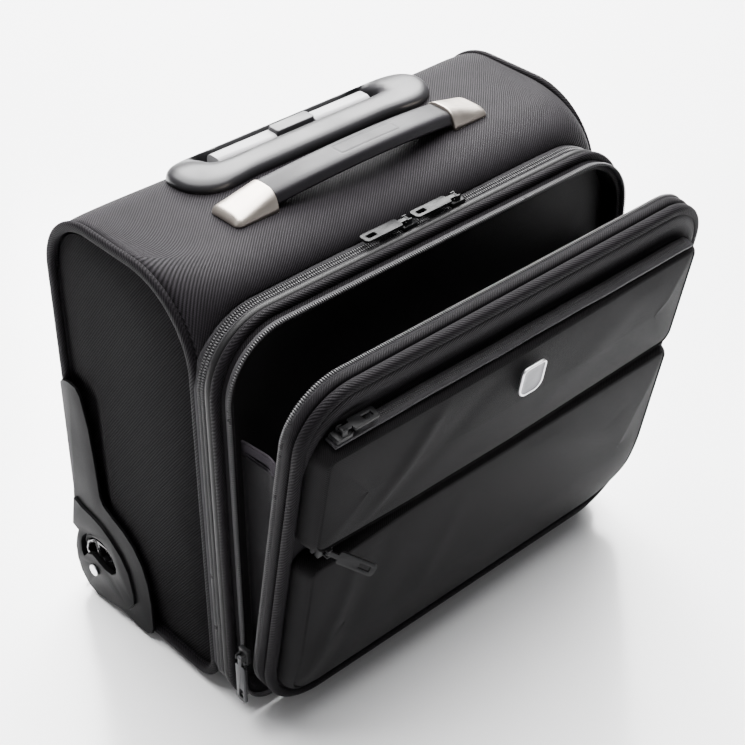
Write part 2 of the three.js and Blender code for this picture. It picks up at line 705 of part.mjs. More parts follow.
// Folded cloth wedge that joins lid and front panel at each side, up to a bound upper edge.
const gussetFoot = 52;
const gussetFront = -10.4; // stops short of the panel board
function gusset() {
  const top = 265;
  const lean = THREE.MathUtils.degToRad(panelOpenAngle);
  const inPanel = (y, z) => new THREE.Vector2(
    -panelPlane + y * Math.cos(lean) - z * Math.sin(lean),
    hingeHeight + y * Math.sin(lean) + z * Math.cos(lean),
  );
  const shape = new THREE.Shape([
    new THREE.Vector2(-lidDepth + 6, gussetFoot),
    inPanel(gussetFront, gussetFoot),
    inPanel(gussetFront, top),
    new THREE.Vector2(-lidDepth + 6, top + hingeHeight),
  ].reverse());
  return alongX(shape, 198, 200);
}
pair('gusset', gusset(), 'lining');

// ---------------------------------------------------------------- zip sliders and pull tabs

// A slider with its zip running along x and its outside facing +z: a wedge body with two
// ears. The tab hangs between the ears and lies towards -x.
const earHeight = 7;
function sliderBody() {
  const body = block(-7, -5, 0, 7, 5, 4);
  const ears = [-1, 1].map((side) => block(-2.5, side * 3.2 - 0.8, 3.5, 2.5, side * 3.2 + 0.8, earHeight + 2));
  return joined(body, ...ears);
}

function pullTab(length) {
  const half = 1.1; // half the thickness of the tab
  const barrel = new THREE.CylinderGeometry(1.8, 1.8, 4, 8);
  const neck = block(-9, -2, -half, 0.2, 2, half);
  const tab = alongZ(roundedRect(-length, -5.5, -8, 5.5, [3, 2, 2, 3]), -half, half, 2);
  const eye = alongZ(roundedRect(-length + 4, -2.4, -length + 13, 2.4, [1, 1, 1, 1]), -2, 2, 1);
  return cut(joined(barrel, neck, tab), eye);
}

// lift turns the tab about the ears: 0 lies towards -x, 90 stands out, 180 lies towards +x.
function addSlider(name, place, turn, tabLength, lift, parent) {
  const holder = new THREE.Group();
  holder.position.copy(place);
  holder.rotation.copy(turn);
  parent.add(holder);
  addPiece(`${name}_slider`, sliderBody(), 'gunmetal', holder);
  const tabHolder = new THREE.Group();
  tabHolder.position.z = earHeight;
  tabHolder.rotation.y = THREE.MathUtils.degToRad(lift);
  holder.add(tabHolder);
  addPiece(`${name}_tab`, pullTab(tabLength), 'gunmetal', tabHolder);
}

const upright = new THREE.Euler(0, 0, 0);
addSlider('main_left', new THREE.Vector3(-12, 0, mouthTop + gap), upright, 45, 0, assembly);
addSlider('main_right', new THREE.Vector3(40, 0, mouthTop + gap), upright, 45, 0, assembly);

// On the left flank: zip along z, outside facing -x, tab hanging down.
const flank = new THREE.Euler(0, -Math.PI / 2, 0);
addSlider('front_zip', new THREE.Vector3(-halfWidth - 1 - gap, -38, 72), flank, 48, 0, assembly);

// On the upper pocket: outside facing up, tab lying towards +x along the zip.
addSlider(
  'upper_pocket', new THREE.Vector3(-184, upperZipPlane, upperZipTop + gap), upright, 32, 180, frontPanel,
);

// On the lower pocket: outside facing forward, tab standing out towards +x.
const forward = new THREE.Euler(Math.PI / 2, 0, 0);
addSlider(
  'lower_pocket', new THREE.Vector3(-188, lowerZipFace - gap, lowerZipHeight), forward, 38, 137, frontPanel,
);

export default flightCase;
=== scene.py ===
"""A soft pilot case on two wheels, its front compartment standing open, on a pale table."""
import math

import bmesh
import bpy
import numpy as np
from mathutils import Matrix, Vector


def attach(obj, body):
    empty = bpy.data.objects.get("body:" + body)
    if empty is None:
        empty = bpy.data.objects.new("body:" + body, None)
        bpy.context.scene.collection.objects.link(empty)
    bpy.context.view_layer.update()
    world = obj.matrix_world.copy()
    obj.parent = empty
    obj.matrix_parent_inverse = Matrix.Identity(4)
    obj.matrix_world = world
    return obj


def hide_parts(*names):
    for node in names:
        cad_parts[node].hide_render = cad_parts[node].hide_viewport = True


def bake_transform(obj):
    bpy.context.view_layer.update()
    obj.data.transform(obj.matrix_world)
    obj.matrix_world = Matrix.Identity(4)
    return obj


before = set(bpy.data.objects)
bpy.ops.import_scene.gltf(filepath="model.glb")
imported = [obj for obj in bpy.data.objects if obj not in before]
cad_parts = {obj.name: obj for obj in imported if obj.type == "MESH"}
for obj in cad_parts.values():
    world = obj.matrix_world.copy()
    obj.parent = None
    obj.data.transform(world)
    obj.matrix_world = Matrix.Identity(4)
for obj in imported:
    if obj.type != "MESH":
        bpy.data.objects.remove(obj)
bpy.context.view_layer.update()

# ---------------------------------------------------------------------------------------------
# Side walls of the body: foam-backed twill, stitched round a hoop of foam and turned in at the
# edge. The wall swells a little between its seams and lies flat against the wheel well.
# ---------------------------------------------------------------------------------------------

MM = 0.001
ZIP_PLANE = -34.3 * MM      # the main zip stands here in y; the body lies behind it
CLOTH_FOOT = 9 * MM         # the underside of the cloth above the floor
HALF_WIDTH = 215 * MM
BODY_HEIGHT = 385 * MM
BACK_PLANE = 192 * MM
FRONT_EDGE = 6 * MM
SIDE_RADII = (27 * MM, 30 * MM, 60 * MM, 72 * MM)
TWILL_BLACK = (0.0026, 0.00225, 0.0027)


def body_place(x, y, z):
    """Points in the row frame from width, depth behind the main zip and height of the cloth."""
    return np.stack(np.broadcast_arrays(x, y + ZIP_PLANE, z + CLOTH_FOOT), -1)


def rounded_loop(x0, z0, x1, z1, radii, step=3 * MM):
    """Points, outward normals and running length of a closed rounded rectangle, walked evenly.

    Each corner is a quarter circle of its radius, in the order lower left, lower right, upper
    right, upper left. The loop starts in the middle of the lower edge and runs anticlockwise.
    """
    lower_left, lower_right, upper_right, upper_left = radii
    corners = [
        (x1 - lower_right, z0 + lower_right, lower_right, -90),
        (x1 - upper_right, z1 - upper_right, upper_right, 0),
        (x0 + upper_left, z1 - upper_left, upper_left, 90),
        (x0 + lower_left, z0 + lower_left, lower_left, 180),
    ]
    dense = [np.array([[(x0 + x1) / 2, z0]])]
    for centre_x, centre_z, radius, start in corners:
        angle = np.radians(np.linspace(start, start + 90, 40))
        arc = np.stack([centre_x + radius * np.cos(angle), centre_z + radius * np.sin(angle)], -1)
        dense.append(arc)
    path = np.concatenate([*dense, dense[0]])
    length = np.concatenate([[0], np.cumsum(np.linalg.norm(np.diff(path, axis=0), axis=1))])
    count = max(int(round(length[-1] / step)), 12)
    along = np.linspace(0, length[-1], count, endpoint=False)
    points = np.stack([np.interp(along, length, path[:, k]) for k in (0, 1)], -1)
    ahead = np.roll(points, -1, axis=0) - np.roll(points, 1, axis=0)
    ahead /= np.linalg.norm(ahead, axis=1, keepdims=True)
    normals = np.stack([ahead[:, 1], -ahead[:, 0]], -1)
    return points, normals, along, length[-1]


def cloth_mesh(name, places, lengths, close_u=False, close_v=False, flip=False):
    """Mesh from a grid of places (rows u, columns v), with a UV map in metres.

    Row i and column j share the corner places[i, j]. lengths holds the two running lengths that
    become the UV. A closed direction joins its last row or column to its first, and the UV of
    that joining strip runs on past the end.
    """
    rows, columns = places.shape[:2]
    u_lengths, v_lengths = lengths
    last_row = rows if close_u else rows - 1
    last_column = columns if close_v else columns - 1
    i, j = np.meshgrid(np.arange(last_row), np.arange(last_column), indexing="ij")
    ring = [(i, j), (i + 1, j), (i + 1, j + 1), (i, j + 1)]
    if flip:
        ring = ring[::-1]
    faces = np.stack([(a % rows) * columns + b % columns for a, b in ring], -1).reshape(-1, 4)
    mesh = bpy.data.meshes.new(name)
    mesh.from_pydata(places.reshape(-1, 3).tolist(), [], faces.tolist())
    steps_u = np.concatenate([u_lengths, [u_lengths[-1] * 2 - u_lengths[-2]]])
    steps_v = np.concatenate([v_lengths, [v_lengths[-1] * 2 - v_lengths[-2]]])
    uv = np.stack([np.stack([steps_u[a], steps_v[b]], -1) for a, b in ring], -2)
    layer = mesh.uv_layers.new(name="metres")
    layer.data.foreach_set("uv", uv.astype(np.float32).ravel())
    mesh.polygons.foreach_set("use_smooth", np.ones(len(faces), bool))
    mesh.update()
    return mesh


def new_piece(name, mesh, material, body, nodes=()):
    """Object from a mesh, with its material, riding a body and standing for its frame nodes."""
    piece = bpy.data.objects.new(name, mesh)
    bpy.context.scene.collection.objects.link(piece)
    if material is not None:
        mesh.materials.append(material)
    if body:
        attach(piece, body)
    if nodes:
        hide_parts(*nodes)
    return piece


def material_nodes(name):
    """A new node material: the material, a function that adds a linked node, and its shader."""
    material = bpy.data.materials.new(name)
    material.use_nodes = True
    tree = material.node_tree
    shader = tree.nodes["Principled BSDF"]

    def add(kind, inputs=(), **settings):
        node = tree.nodes.new(kind)
        for key, value in settings.items():
            setattr(node, key, value)
        for key, value in dict(inputs).items():
            if isinstance(value, bpy.types.NodeSocket):
                tree.links.new(value, node.inputs[key])
            else:
                node.inputs[key].default_value = value
        return node

    def wire(output, key):
        tree.links.new(output, shader.inputs[key])

    return material, add, wire, shader


def grey(colour, times):
    """A colour made lighter or darker, as four numbers."""
    return (*(min(channel * times, 1) for channel in colour), 1)


def twill_cloth(name, colour, pitch, angle, depth=0.55, rough=0.6, sheen=0.02, lift=3.4, gloss=0.07):
    """Twill: raised ribs a pitch apart that cross the cloth at an angle, each broken by threads.

    The ribs are the crests of a wave along the turned cloth lengths. A finer wave across them
    gives the threads, and slow noise gives the uneven dye. The crests are smoother, as if rubbed.
    The colour is painted light on the crests and painted shade in the gaps between the ribs.
    """
    material, add, wire, shader = material_nodes(name)
    cloth = add("ShaderNodeUVMap", uv_map="metres").outputs["UV"]
    turned = add("ShaderNodeMapping", {"Vector": cloth, "Rotation": (0, 0, math.radians(angle))})
    wander = add("ShaderNodeTexNoise", {"Vector": cloth, "Scale": 60.0, "Detail": 2.0})
    ribs = add(
        "ShaderNodeTexWave",
        {"Vector": turned.outputs[0], "Scale": 0.314 / pitch, "Distortion": 0.35, "Detail": 1.0,
         "Detail Scale": 1.5},
    )
    threads = add(
        "ShaderNodeTexWave",
        {"Vector": turned.outputs[0], "Scale": 0.314 / (0.45 * pitch)},
        bands_direction="Y",
    )
    crest = add(
        "ShaderNodeMath", {0: ribs.outputs["Fac"], 1: 0.72}, operation="MULTIPLY",
    )
    height = add(
        "ShaderNodeMath", {0: threads.outputs["Fac"], 1: 0.28, 2: crest.outputs[0]},
        operation="MULTIPLY_ADD",
    )
    dye = add(
        "ShaderNodeMapRange",
        {"Value": wander.outputs["Fac"], "From Min": 0.3, "From Max": 0.7, "To Min": 0.86,
         "To Max": 1.14},
    )
    # Painted light and shade: the colour follows the same height as the bump, 0.14 of the colour in the gaps
    # between ribs and lift times 1.5 on the crests.
    tone = add(
        "ShaderNodeMix",
        {"Factor": height.outputs[0], 6: grey(colour, 0.14), 7: grey(colour, lift * 1.5)},
        data_type="RGBA",
    )
    dyed = add(
        "ShaderNodeMix",
        {"Factor": 1.0, 6: tone.outputs[2], 7: dye.outputs[0]},
        data_type="RGBA", blend_type="MULTIPLY",
    )
    wire(dyed.outputs[2], "Base Color")
    shine = add(
        "ShaderNodeMapRange",
        {"Value": height.outputs[0], "To Min": min(rough + 0.2, 1), "To Max": rough - 0.1},
    )
    wire(shine.outputs[0], "Roughness")
    bump = add(
        "ShaderNodeBump", {"Height": height.outputs[0], "Strength": depth, "Distance": 0.0006},
    )
    wire(bump.outputs[0], "Normal")
    shader.inputs["Sheen Weight"].default_value = sheen
    shader.inputs["Sheen Roughness"].default_value = 0.45
    shader.inputs["Specular IOR Level"].default_value = gloss
    return material


# Painted shade: a darker copy of the body's twill, lift 1.0 with no sheen and little gloss, for the side
# walls that face away from the light.
side_twill_painted_shade = twill_cloth("side_twill_painted_shade", TWILL_BLACK, 2.0 * MM, -38, sheen=0.0, lift=1.0, gloss=0.02)
SIDE_FACE = HALF_WIDTH - 4 * MM
SIDE_EDGE = 4 * MM          # the face starts this far inside the piping
SIDE_FOAM = 5 * MM
WELL_Y, WELL_Z, WELL_REACH = 167 * MM, 25 * MM, 41 * MM


def side_wall(sign):
    """A closed cushion: rings of the side outline shrunk to a middle point, on both faces.

    The swell of the outer face is 5.5 mm times a rise from each edge, 1 - exp(-distance/18 mm),
    plus two faint soft waves. It fades near the wheel well, where the housing holds the wall.
    """
    loop, _, _, _ = rounded_loop(
        FRONT_EDGE + SIDE_EDGE, SIDE_EDGE, BACK_PLANE - SIDE_EDGE, BODY_HEIGHT - SIDE_EDGE,
        [r - SIDE_EDGE for r in SIDE_RADII], 5 * MM,
    )
    middle = loop.min(0) / 2 + loop.max(0) / 2
    share = np.concatenate([np.linspace(0, 0.24, 12), np.linspace(0.24, 1, 28)[1:]])[:, None, None]
    flat = loop * (1 - share) + middle * share
    edge = np.linalg.norm(flat - loop, axis=-1)
    y, z = flat[..., 0], flat[..., 1]
    from_sides = np.minimum(y - loop[:, 0].min(), loop[:, 0].max() - y)
    from_ends = np.minimum(z - loop[:, 1].min(), loop[:, 1].max() - z)
    rise = 1 - np.exp(-np.stack([from_sides, from_ends, edge * 1.6]) / (18 * MM))
    swell = 5.5 * MM * rise.prod(0)
    swell += 0.8 * MM * np.sin(y * 52 + z * 14) * np.sin(z * 24 + 1) * np.clip(edge / 0.04, 0, 1)
    from_well = np.hypot(y - WELL_Y, z - WELL_Z)
    swell *= np.clip((from_well - WELL_REACH) / (60 * MM), 0, 1) ** 0.5
    swell *= 1 - 0.9 * np.clip((y - 140 * MM) / (12 * MM), 0, 1) * np.clip((235 * MM - z) / (20 * MM), 0, 1)
    outer = body_place(sign * (SIDE_FACE - 1.5 * MM + swell), y, z)
    inner = body_place(sign * (SIDE_FACE - SIDE_FOAM + 0 * y), y, z)
    places = np.concatenate([inner[::-1], outer])
    mesh = cloth_mesh(
        "side_wall", places, (np.arange(len(places)) * MM, np.arange(len(loop)) * MM),
        close_v=True, flip=sign > 0,
    )
    use_flat_lengths(mesh, 1, 2, -sign)
    return merge_corners(mesh)


def use_flat_lengths(mesh, across, up, sign=1):
    """UV in metres straight from two of the three coordinates, as cloth laid on a flat wall."""
    corner = np.empty(len(mesh.vertices) * 3)
    mesh.vertices.foreach_get("co", corner)
    index = np.empty(len(mesh.loops), int)
    mesh.loops.foreach_get("vertex_index", index)
    corner = corner.reshape(-1, 3)[index]
    uv = np.stack([sign * corner[:, across], corner[:, up]], -1)
    mesh.uv_layers["metres"].data.foreach_set("uv", uv.astype(np.float32).ravel())


MERGE_REACH = 0.02 * MM


def merge_corners(mesh):
    """Joins corners of a mesh that lie on each other."""
    work = bmesh.new()
    work.from_mesh(mesh)
    bmesh.ops.remove_doubles(work, verts=work.verts, dist=MERGE_REACH)
    bmesh.ops.dissolve_degenerate(work, edges=work.edges, dist=MERGE_REACH)
    work.to_mesh(mesh)
    work.free()
    return mesh


def finish_modifiers(piece):
    """Applies the modifiers of a piece, so that its mesh is what shows."""
    graph = bpy.context.evaluated_depsgraph_get()
    done = bpy.data.meshes.new_from_object(
        piece.evaluated_get(graph), preserve_all_data_layers=True, depsgraph=graph,
    )
    old = piece.data
    piece.modifiers.clear()
    piece.data = done
    bpy.data.meshes.remove(old)


def bar_mesh(name, centre, radius, start, end):
    """A round bar along x: a circle of the radius at both ends, closed by its two discs."""
    sides = 48
    angle = np.linspace(0, 2 * np.pi, sides, endpoint=False)
    y, z = centre[0] + radius * np.cos(angle), centre[1] + radius * np.sin(angle)
    ends = [np.stack([np.full(sides, x), y, z], -1) for x in (start, end)]
    index = np.arange(sides)
    faces = np.stack([index, (index + 1) % sides, (index + 1) % sides + sides, index + sides], -1)
    mesh = bpy.data.meshes.new(name)
    caps = [index[::-1].tolist(), (index + sides).tolist()]
    mesh.from_pydata(np.concatenate(ends).tolist(), [], faces.tolist() + caps)
    return mesh


def cut_away(piece, *cutters):
    """Takes the cutters' space out of a piece and applies the result."""
    for number, mesh in enumerate(cutters):
        tool = bpy.data.objects.new(f"cutter_{number}", mesh)
        bpy.context.scene.collection.objects.link(tool)
        cut = piece.modifiers.new("cut", "BOOLEAN")
        cut.object, cut.operation, cut.solver = tool, "DIFFERENCE", "EXACT"
        finish_modifiers(piece)
        bpy.data.objects.remove(tool)
        bpy.data.meshes.remove(mesh)


def wheel_well(sign):
    """The room that the wheel and its well take out of the cloth, a bar along x."""
    centre = (WELL_Y + ZIP_PLANE, WELL_Z + CLOTH_FOOT)
    ends = sorted((sign * 185 * MM, sign * 220 * MM))
    return bar_mesh("well", centre, WELL_REACH, *ends)


for side, sign in (("left", -1), ("right", 1)):
    wall = new_piece(
        f"{side}_side_wall", side_wall(sign), side_twill_painted_shade, None,
        [f"{side}_side_panel"],
    )
    cut_away(wall, wheel_well(sign))
    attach(wall, "case")

# ---------------------------------------------------------------------------------------------
# Piping of the side walls: a roll of twill cut on the bias round a cord, stitched into the seam
# between the side wall and the top, back and base. It stops at the wheel well.
# ---------------------------------------------------------------------------------------------

PIPING_HALF = 4.3 * MM
PIPING_RISE = 3.1 * MM
piping_twill = twill_cloth("piping_twill", TWILL_BLACK, 2.0 * MM, 52, lift=2.6, gloss=0.04)


def oval_profile(half_wide, half_high, count=14, squareness=2.6):
    """A rounded oval: |a/half_wide|^n + |b/half_high|^n = 1, walked evenly in angle."""
    angle = np.linspace(0, 2 * np.pi, count, endpoint=False)
    a, b = np.cos(angle), np.sin(angle)
    power = 2 / squareness
    return np.stack(
        [half_wide * np.sign(a) * np.abs(a) ** power, half_high * np.sign(b) * np.abs(b) ** power],
        -1,
    )


def profile_length(profile):
    """Running length along a profile's points, starting from nothing."""
    return np.concatenate([[0], np.cumsum(np.linalg.norm(np.diff(profile, axis=0), axis=1))])


def carried_ring(name, loop, normals, along, profile, place, flip=False):
    """A closed profile carried round a closed loop.

    Each loop point moves out along its normal by the profile's first number. The profile's
    second number is the depth, which place(across, depth, up) turns into a place in the frame.
    """
    flat = loop[:, None, :] + normals[:, None, :] * profile[None, :, :1]
    depth = np.broadcast_to(profile[None, :, 1], flat.shape[:2])
    places = place(flat[..., 0], depth, flat[..., 1])
    return cloth_mesh(name, places, (along, profile_length(profile)), True, True, flip)


def block_mesh(name, low, high):
    """A plain block between two corners."""
    corner = np.array([[x, y, z] for x in (0, 1) for y in (0, 1) for z in (0, 1)])
    places = np.array(low) + corner * (np.array(high) - np.array(low))
    faces = [(0, 1, 3, 2), (4, 6, 7, 5), (0, 4, 5, 1), (2, 3, 7, 6), (0, 2, 6, 4), (1, 5, 7, 3)]
    mesh = bpy.data.meshes.new(name)
    mesh.from_pydata(places.tolist(), [], faces)
    return mesh


side_loop, side_normals, side_along, _ = rounded_loop(
    FRONT_EDGE, 0, BACK_PLANE, BODY_HEIGHT, SIDE_RADII, 3 * MM,
)


def side_place(sign):
    """Places from depth behind the zip, distance out past the face and height."""
    return lambda y, out, z: body_place(sign * (SIDE_FACE + out), y, z)


for side, sign in (("left", -1), ("right", 1)):
    roll = oval_profile(PIPING_HALF, PIPING_RISE) + np.array([-PIPING_HALF + 0.8 * MM, 2.2 * MM])
    mesh = carried_ring(
        "piping", side_loop, side_normals, side_along, roll, side_place(sign), flip=sign < 0,
    )
    piping = new_piece(
        f"{side}_side_roll", mesh, piping_twill, None, [f"{side}_side_piping"],
    )
    cut_away(piping, wheel_well(sign))
    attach(piping, "case")

# ---------------------------------------------------------------------------------------------
# Top of the body: foam-backed twill that dips to the mouth in front and rolls over the back edge.
# The pull-handle tray is let into a slot in it, and the carry handle is screwed through it.
# ---------------------------------------------------------------------------------------------

MOUTH_TOP = 362 * MM
MOUTH_RADIUS = 55 * MM
TOP_HALF = 210.5 * MM
WALL = 8 * MM
TRAY_SLOT = ((-93.6 * MM, 134.4 * MM, 320 * MM), (93.6 * MM, 168.6 * MM, 400 * MM))
# Painted light: a lighter copy of the body's twill, lift 4.4, for the top where the light from above and
# behind falls.
top_twill_painted_light = twill_cloth("top_twill_painted_light", TWILL_BLACK, 1.9 * MM, 47, lift=4.4, rough=0.62)


def mouth_height(x):
    """Height of the mouth's outline over the width: level, then a quarter circle at each end."""
    past = np.clip(np.abs(x) - (HALF_WIDTH - MOUTH_RADIUS), 0, MOUTH_RADIUS * 0.9999)
    return MOUTH_TOP - MOUTH_RADIUS + np.sqrt(MOUTH_RADIUS**2 - past**2)


def top_panel_mesh():
    """The side section carried across the width, with a wall of foam under it.

    The section is a quarter ellipse from the mouth up to the level top, a level run, and a
    quarter circle down the back. The foam swells it by soft waves under a millimetre and draws
    it in by 1.5 mm along each seam.
    """
    x = np.linspace(-TOP_HALF, TOP_HALF, 85)[:, None]
    dip = np.linspace(0, np.pi / 2, 14)[None, :]
    front = mouth_height(x)
    run = 40 * MM + 1.2 * (MOUTH_TOP - front)
    rear_radius = SIDE_RADII[2]
    rear_y, rear_z = BACK_PLANE - rear_radius, BODY_HEIGHT - rear_radius
    back = np.linspace(0, np.pi / 2, 16)[None, :]
    share = np.linspace(0, 1, 14)[None, 1:-1]
    dip_y = FRONT_EDGE + run * (1 - np.cos(dip))
    level_y = dip_y[:, -1:] * (1 - share) + rear_y * share
    y = np.concatenate([dip_y, level_y, rear_y + rear_radius * np.sin(back) + 0 * x], 1)
    z = np.concatenate(
        [front + (BODY_HEIGHT - front) * np.sin(dip), BODY_HEIGHT + 0 * level_y,
         rear_z + rear_radius * np.cos(back) + 0 * x], 1,
    )
    x = x + 0 * y
    ahead_y, ahead_z = np.gradient(y, axis=1), np.gradient(z, axis=1)
    size = np.hypot(ahead_y, ahead_z)
    out_y, out_z = -ahead_z / size, ahead_y / size
    from_seam = TOP_HALF - np.abs(x)
    swell = 0.7 * MM * np.sin(x * 31 + 0.6) * np.sin(y * 46 + 1.1)
    swell -= 1.6 * MM * np.exp(-from_seam / (7 * MM))
    outer = np.stack([x, y + out_y * swell, z + out_z * swell], -1)
    inner = np.stack([x, y - out_y * WALL, z - out_z * WALL], -1)
    section = np.concatenate([outer, inner[:, ::-1]], 1)
    caps = np.repeat(section.mean(1, keepdims=True), section.shape[1], 1)
    section = np.concatenate([caps[:1], section, caps[-1:]], 0)
    places = body_place(section[..., 0], section[..., 1], section[..., 2])
    along = np.concatenate([[-TOP_HALF], np.linspace(-TOP_HALF, TOP_HALF, 85), [TOP_HALF]])
    middle = section[len(section) // 2]
    return cloth_mesh("top", places, (along, profile_length(middle[:, 1:])), False, True)


def frame_block(low, high):
    """A block between two corners given in the body's own measures."""
    return block_mesh("block", body_place(*low), body_place(*high))


top = new_piece("top_cloth", merge_corners(top_panel_mesh()), top_twill_painted_light, None, ["top_panel"])
cut_away(top, frame_block(*TRAY_SLOT))
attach(top, "case")

# ---------------------------------------------------------------------------------------------
# Back and base: the same foam-backed twill. The back carries two sewn channels over the tubes of
# the pull handle, and the base turns up at both ends to meet the back and the mouth.
# ---------------------------------------------------------------------------------------------

BACK_TOP = 325 * MM
BASE_TOP = 65.6 * MM
CHANNEL_X = 66 * MM
back_twill = twill_cloth("back_twill", TWILL_BLACK, 2.0 * MM, 40, lift=3.0)


def back_panel_mesh():
    """Front and rear faces of the back over its width and height.

    Two soft ridges 2 mm high run up over the tubes. A line of stitches draws the cloth in by a
    millimetre at each side of a ridge.
    """
    x = np.linspace(-TOP_HALF, TOP_HALF, 120)[:, None]
    z = np.linspace(BASE_TOP - 1 * MM, BACK_TOP + 1 * MM, 60)[None, :]
    from_tube = np.abs(np.abs(x) - CHANNEL_X)
    ridge = 1.6 * MM * np.exp(-((from_tube / (13 * MM)) ** 4))
    stitch = 1.0 * MM * np.exp(-(((from_tube - 20 * MM) / (2.2 * MM)) ** 2))
    swell = ridge - stitch + 0.5 * MM * np.sin(x * 40) * np.sin(z * 30) - 1.0 * MM
    y = BACK_PLANE + swell + 0 * z
    outer = body_place(x + 0 * z, y, z + 0 * x)
    inner = body_place(x + 0 * z, BACK_PLANE - WALL + 0 * y, z + 0 * x)
    places = np.concatenate([outer, inner[:, ::-1]], 1)
    caps = np.repeat(places.mean(1, keepdims=True), places.shape[1], 1)
    places = np.concatenate([caps[:1], places, caps[-1:]], 0)
    along = np.concatenate([[-TOP_HALF], x[:, 0], [TOP_HALF]])
    running = np.concatenate([z[0], z[0, ::-1] + 0.5])
    return cloth_mesh("back", places, (along, running), False, True, flip=True)


def base_panel_mesh():
    """The base section carried across the width: up the front, round, level, round, up the back.

    Each end closes on the line midway between the outer and the inner face.
    """
    front_radius, rear_radius = SIDE_RADII[0], SIDE_RADII[1]
    turn = np.linspace(0, np.pi / 2, 9)
    front_y, rear_y = FRONT_EDGE + front_radius, BACK_PLANE - rear_radius
    y = np.concatenate([front_y - front_radius * np.cos(turn), rear_y + rear_radius * np.sin(turn),
                        [BACK_PLANE]])
    z = np.concatenate([front_radius * (1 - np.sin(turn)), rear_radius * (1 - np.cos(turn)),
                        [BASE_TOP]])
    ahead = np.stack([np.gradient(y), np.gradient(z)], -1)
    ahead /= np.linalg.norm(ahead, axis=1, keepdims=True)
    outer = np.stack([y, z], -1)
    inner = outer + np.stack([-ahead[:, 1], ahead[:, 0]], -1) * WALL
    section = np.concatenate([outer, inner[::-1]])
    x = np.linspace(-TOP_HALF, TOP_HALF, 43)
    places = body_place(x[:, None] + 0 * section[None, :, 0], section[None, :, 0], section[None, :, 1])
    ends = (places + places[:, ::-1]) / 2
    places = np.concatenate([ends[:1], places, ends[-1:]], 0)
    along = np.concatenate([x[:1], x, x[-1:]])
    return cloth_mesh("base", places, (along, profile_length(section)), False, True, flip=True)


back = new_piece(
    "back_cloth", merge_corners(back_panel_mesh()), back_twill, "case",
    ["back_panel"],
)
base = new_piece(
    "base_cloth", merge_corners(base_panel_mesh()), back_twill, None,
    ["base_panel"],
)
cut_away(base, wheel_well(-1), wheel_well(1))
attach(base, "case")

# ---------------------------------------------------------------------------------------------
# Main zip: two woven nylon tapes, each with a coil of nylon stitched to its edge. One tape is
# sewn to the mouth of the body and one to the lid. The teeth of one side lie between the other's.
# ---------------------------------------------------------------------------------------------

MOUTH_RADII = (30 * MM, 30 * MM, 55 * MM, 55 * MM)
COIL_BLACK = (0.022, 0.021, 0.0225)
TAPE_BLACK = (0.014, 0.0135, 0.0145)
TEETH_SINK = 0.25
MAIN_PITCH = 2.15 * MM


def coil_nylon(name):
    """Drawn nylon: dark, half glossy, with slow noise in the gloss where the slider has run."""
    rough = 0.36
    material, add, wire, shader = material_nodes(name)
    place = add("ShaderNodeTexCoord").outputs["Object"]
    rubbed = add("ShaderNodeTexNoise", {"Vector": place, "Scale": 55.0, "Detail": 3.0})
    shine = add(
        "ShaderNodeMapRange",
        {"Value": rubbed.outputs["Fac"], "From Min": 0.3, "From Max": 0.7,
         "To Min": rough - 0.1, "To Max": rough + 0.14},
    )
    wire(shine.outputs[0], "Roughness")
    tone = add(
        "ShaderNodeMix",
        {"Factor": rubbed.outputs["Fac"], 6: grey(COIL_BLACK, 0.75), 7: grey(COIL_BLACK, 1.35)},
        data_type="RGBA",
    )
    wire(tone.outputs[2], "Base Color")
    shader.inputs["Specular IOR Level"].default_value = 0.4
    return material


def zip_tape(name):
    """Woven tape: fine ribs along its length 0.55 mm apart, crossed by finer threads."""
    return twill_cloth(name, TAPE_BLACK, 0.7 * MM, 90, depth=0.3, lift=3.0)


def zip_teeth(name, places, across, outward, length, pitch, shift=0.0):
    """A row of coil teeth: a small arched bar at each place, lying across the zip.

    A bar is an oval section carried over a low arch, a sixth of its length high, pulled in at
    both ends and sunk a quarter of the pitch into its tape. All bars are one array: template
    points turned into each place's own axes.
    """
    bar = np.linspace(0, 1, 5)
    girth = np.array([0.55, 0.98, 1.0, 0.98, 0.5]) * 0.34 * pitch
    turn = np.linspace(0, 2 * np.pi, 6, endpoint=False) + np.pi / 6
    a = np.repeat(bar * length, 6)
    b = (girth[:, None] * np.cos(turn)).ravel()
    c = (girth[:, None] * np.sin(turn) * 0.85).ravel()
    c += np.repeat(length * 0.17 * (1 - (2 * bar - 1) ** 2) - TEETH_SINK * pitch, 6)
    ahead = np.cross(outward, across)
    points = places + ahead * shift
    whole = (points[:, None] + across[:, None] * a[None, :, None] + ahead[:, None] * b[None, :, None]
             + outward[:, None] * c[None, :, None])
    i, j = np.meshgrid(np.arange(4), np.arange(6), indexing="ij")
    k = (j + 1) % 6
    quads = np.stack([i * 6 + j, i * 6 + k, (i + 1) * 6 + k, (i + 1) * 6 + j], -1).reshape(-1, 4)
    starts = np.arange(len(places))[:, None, None] * 30
    sides = (starts + quads[None]).reshape(-1, 4)
    caps = np.concatenate(
        [starts[:, 0] + np.arange(6)[::-1], starts[:, 0] + 24 + np.arange(6)[None]], 0,
    )
    mesh = bpy.data.meshes.new(name)
    mesh.from_pydata(whole.reshape(-1, 3).tolist(), [], sides.tolist() + caps.tolist())
    mesh.uv_layers.new(name="metres")
    mesh.polygons.foreach_set("use_smooth", np.ones(len(mesh.polygons), bool))
    mesh.update()
    return mesh


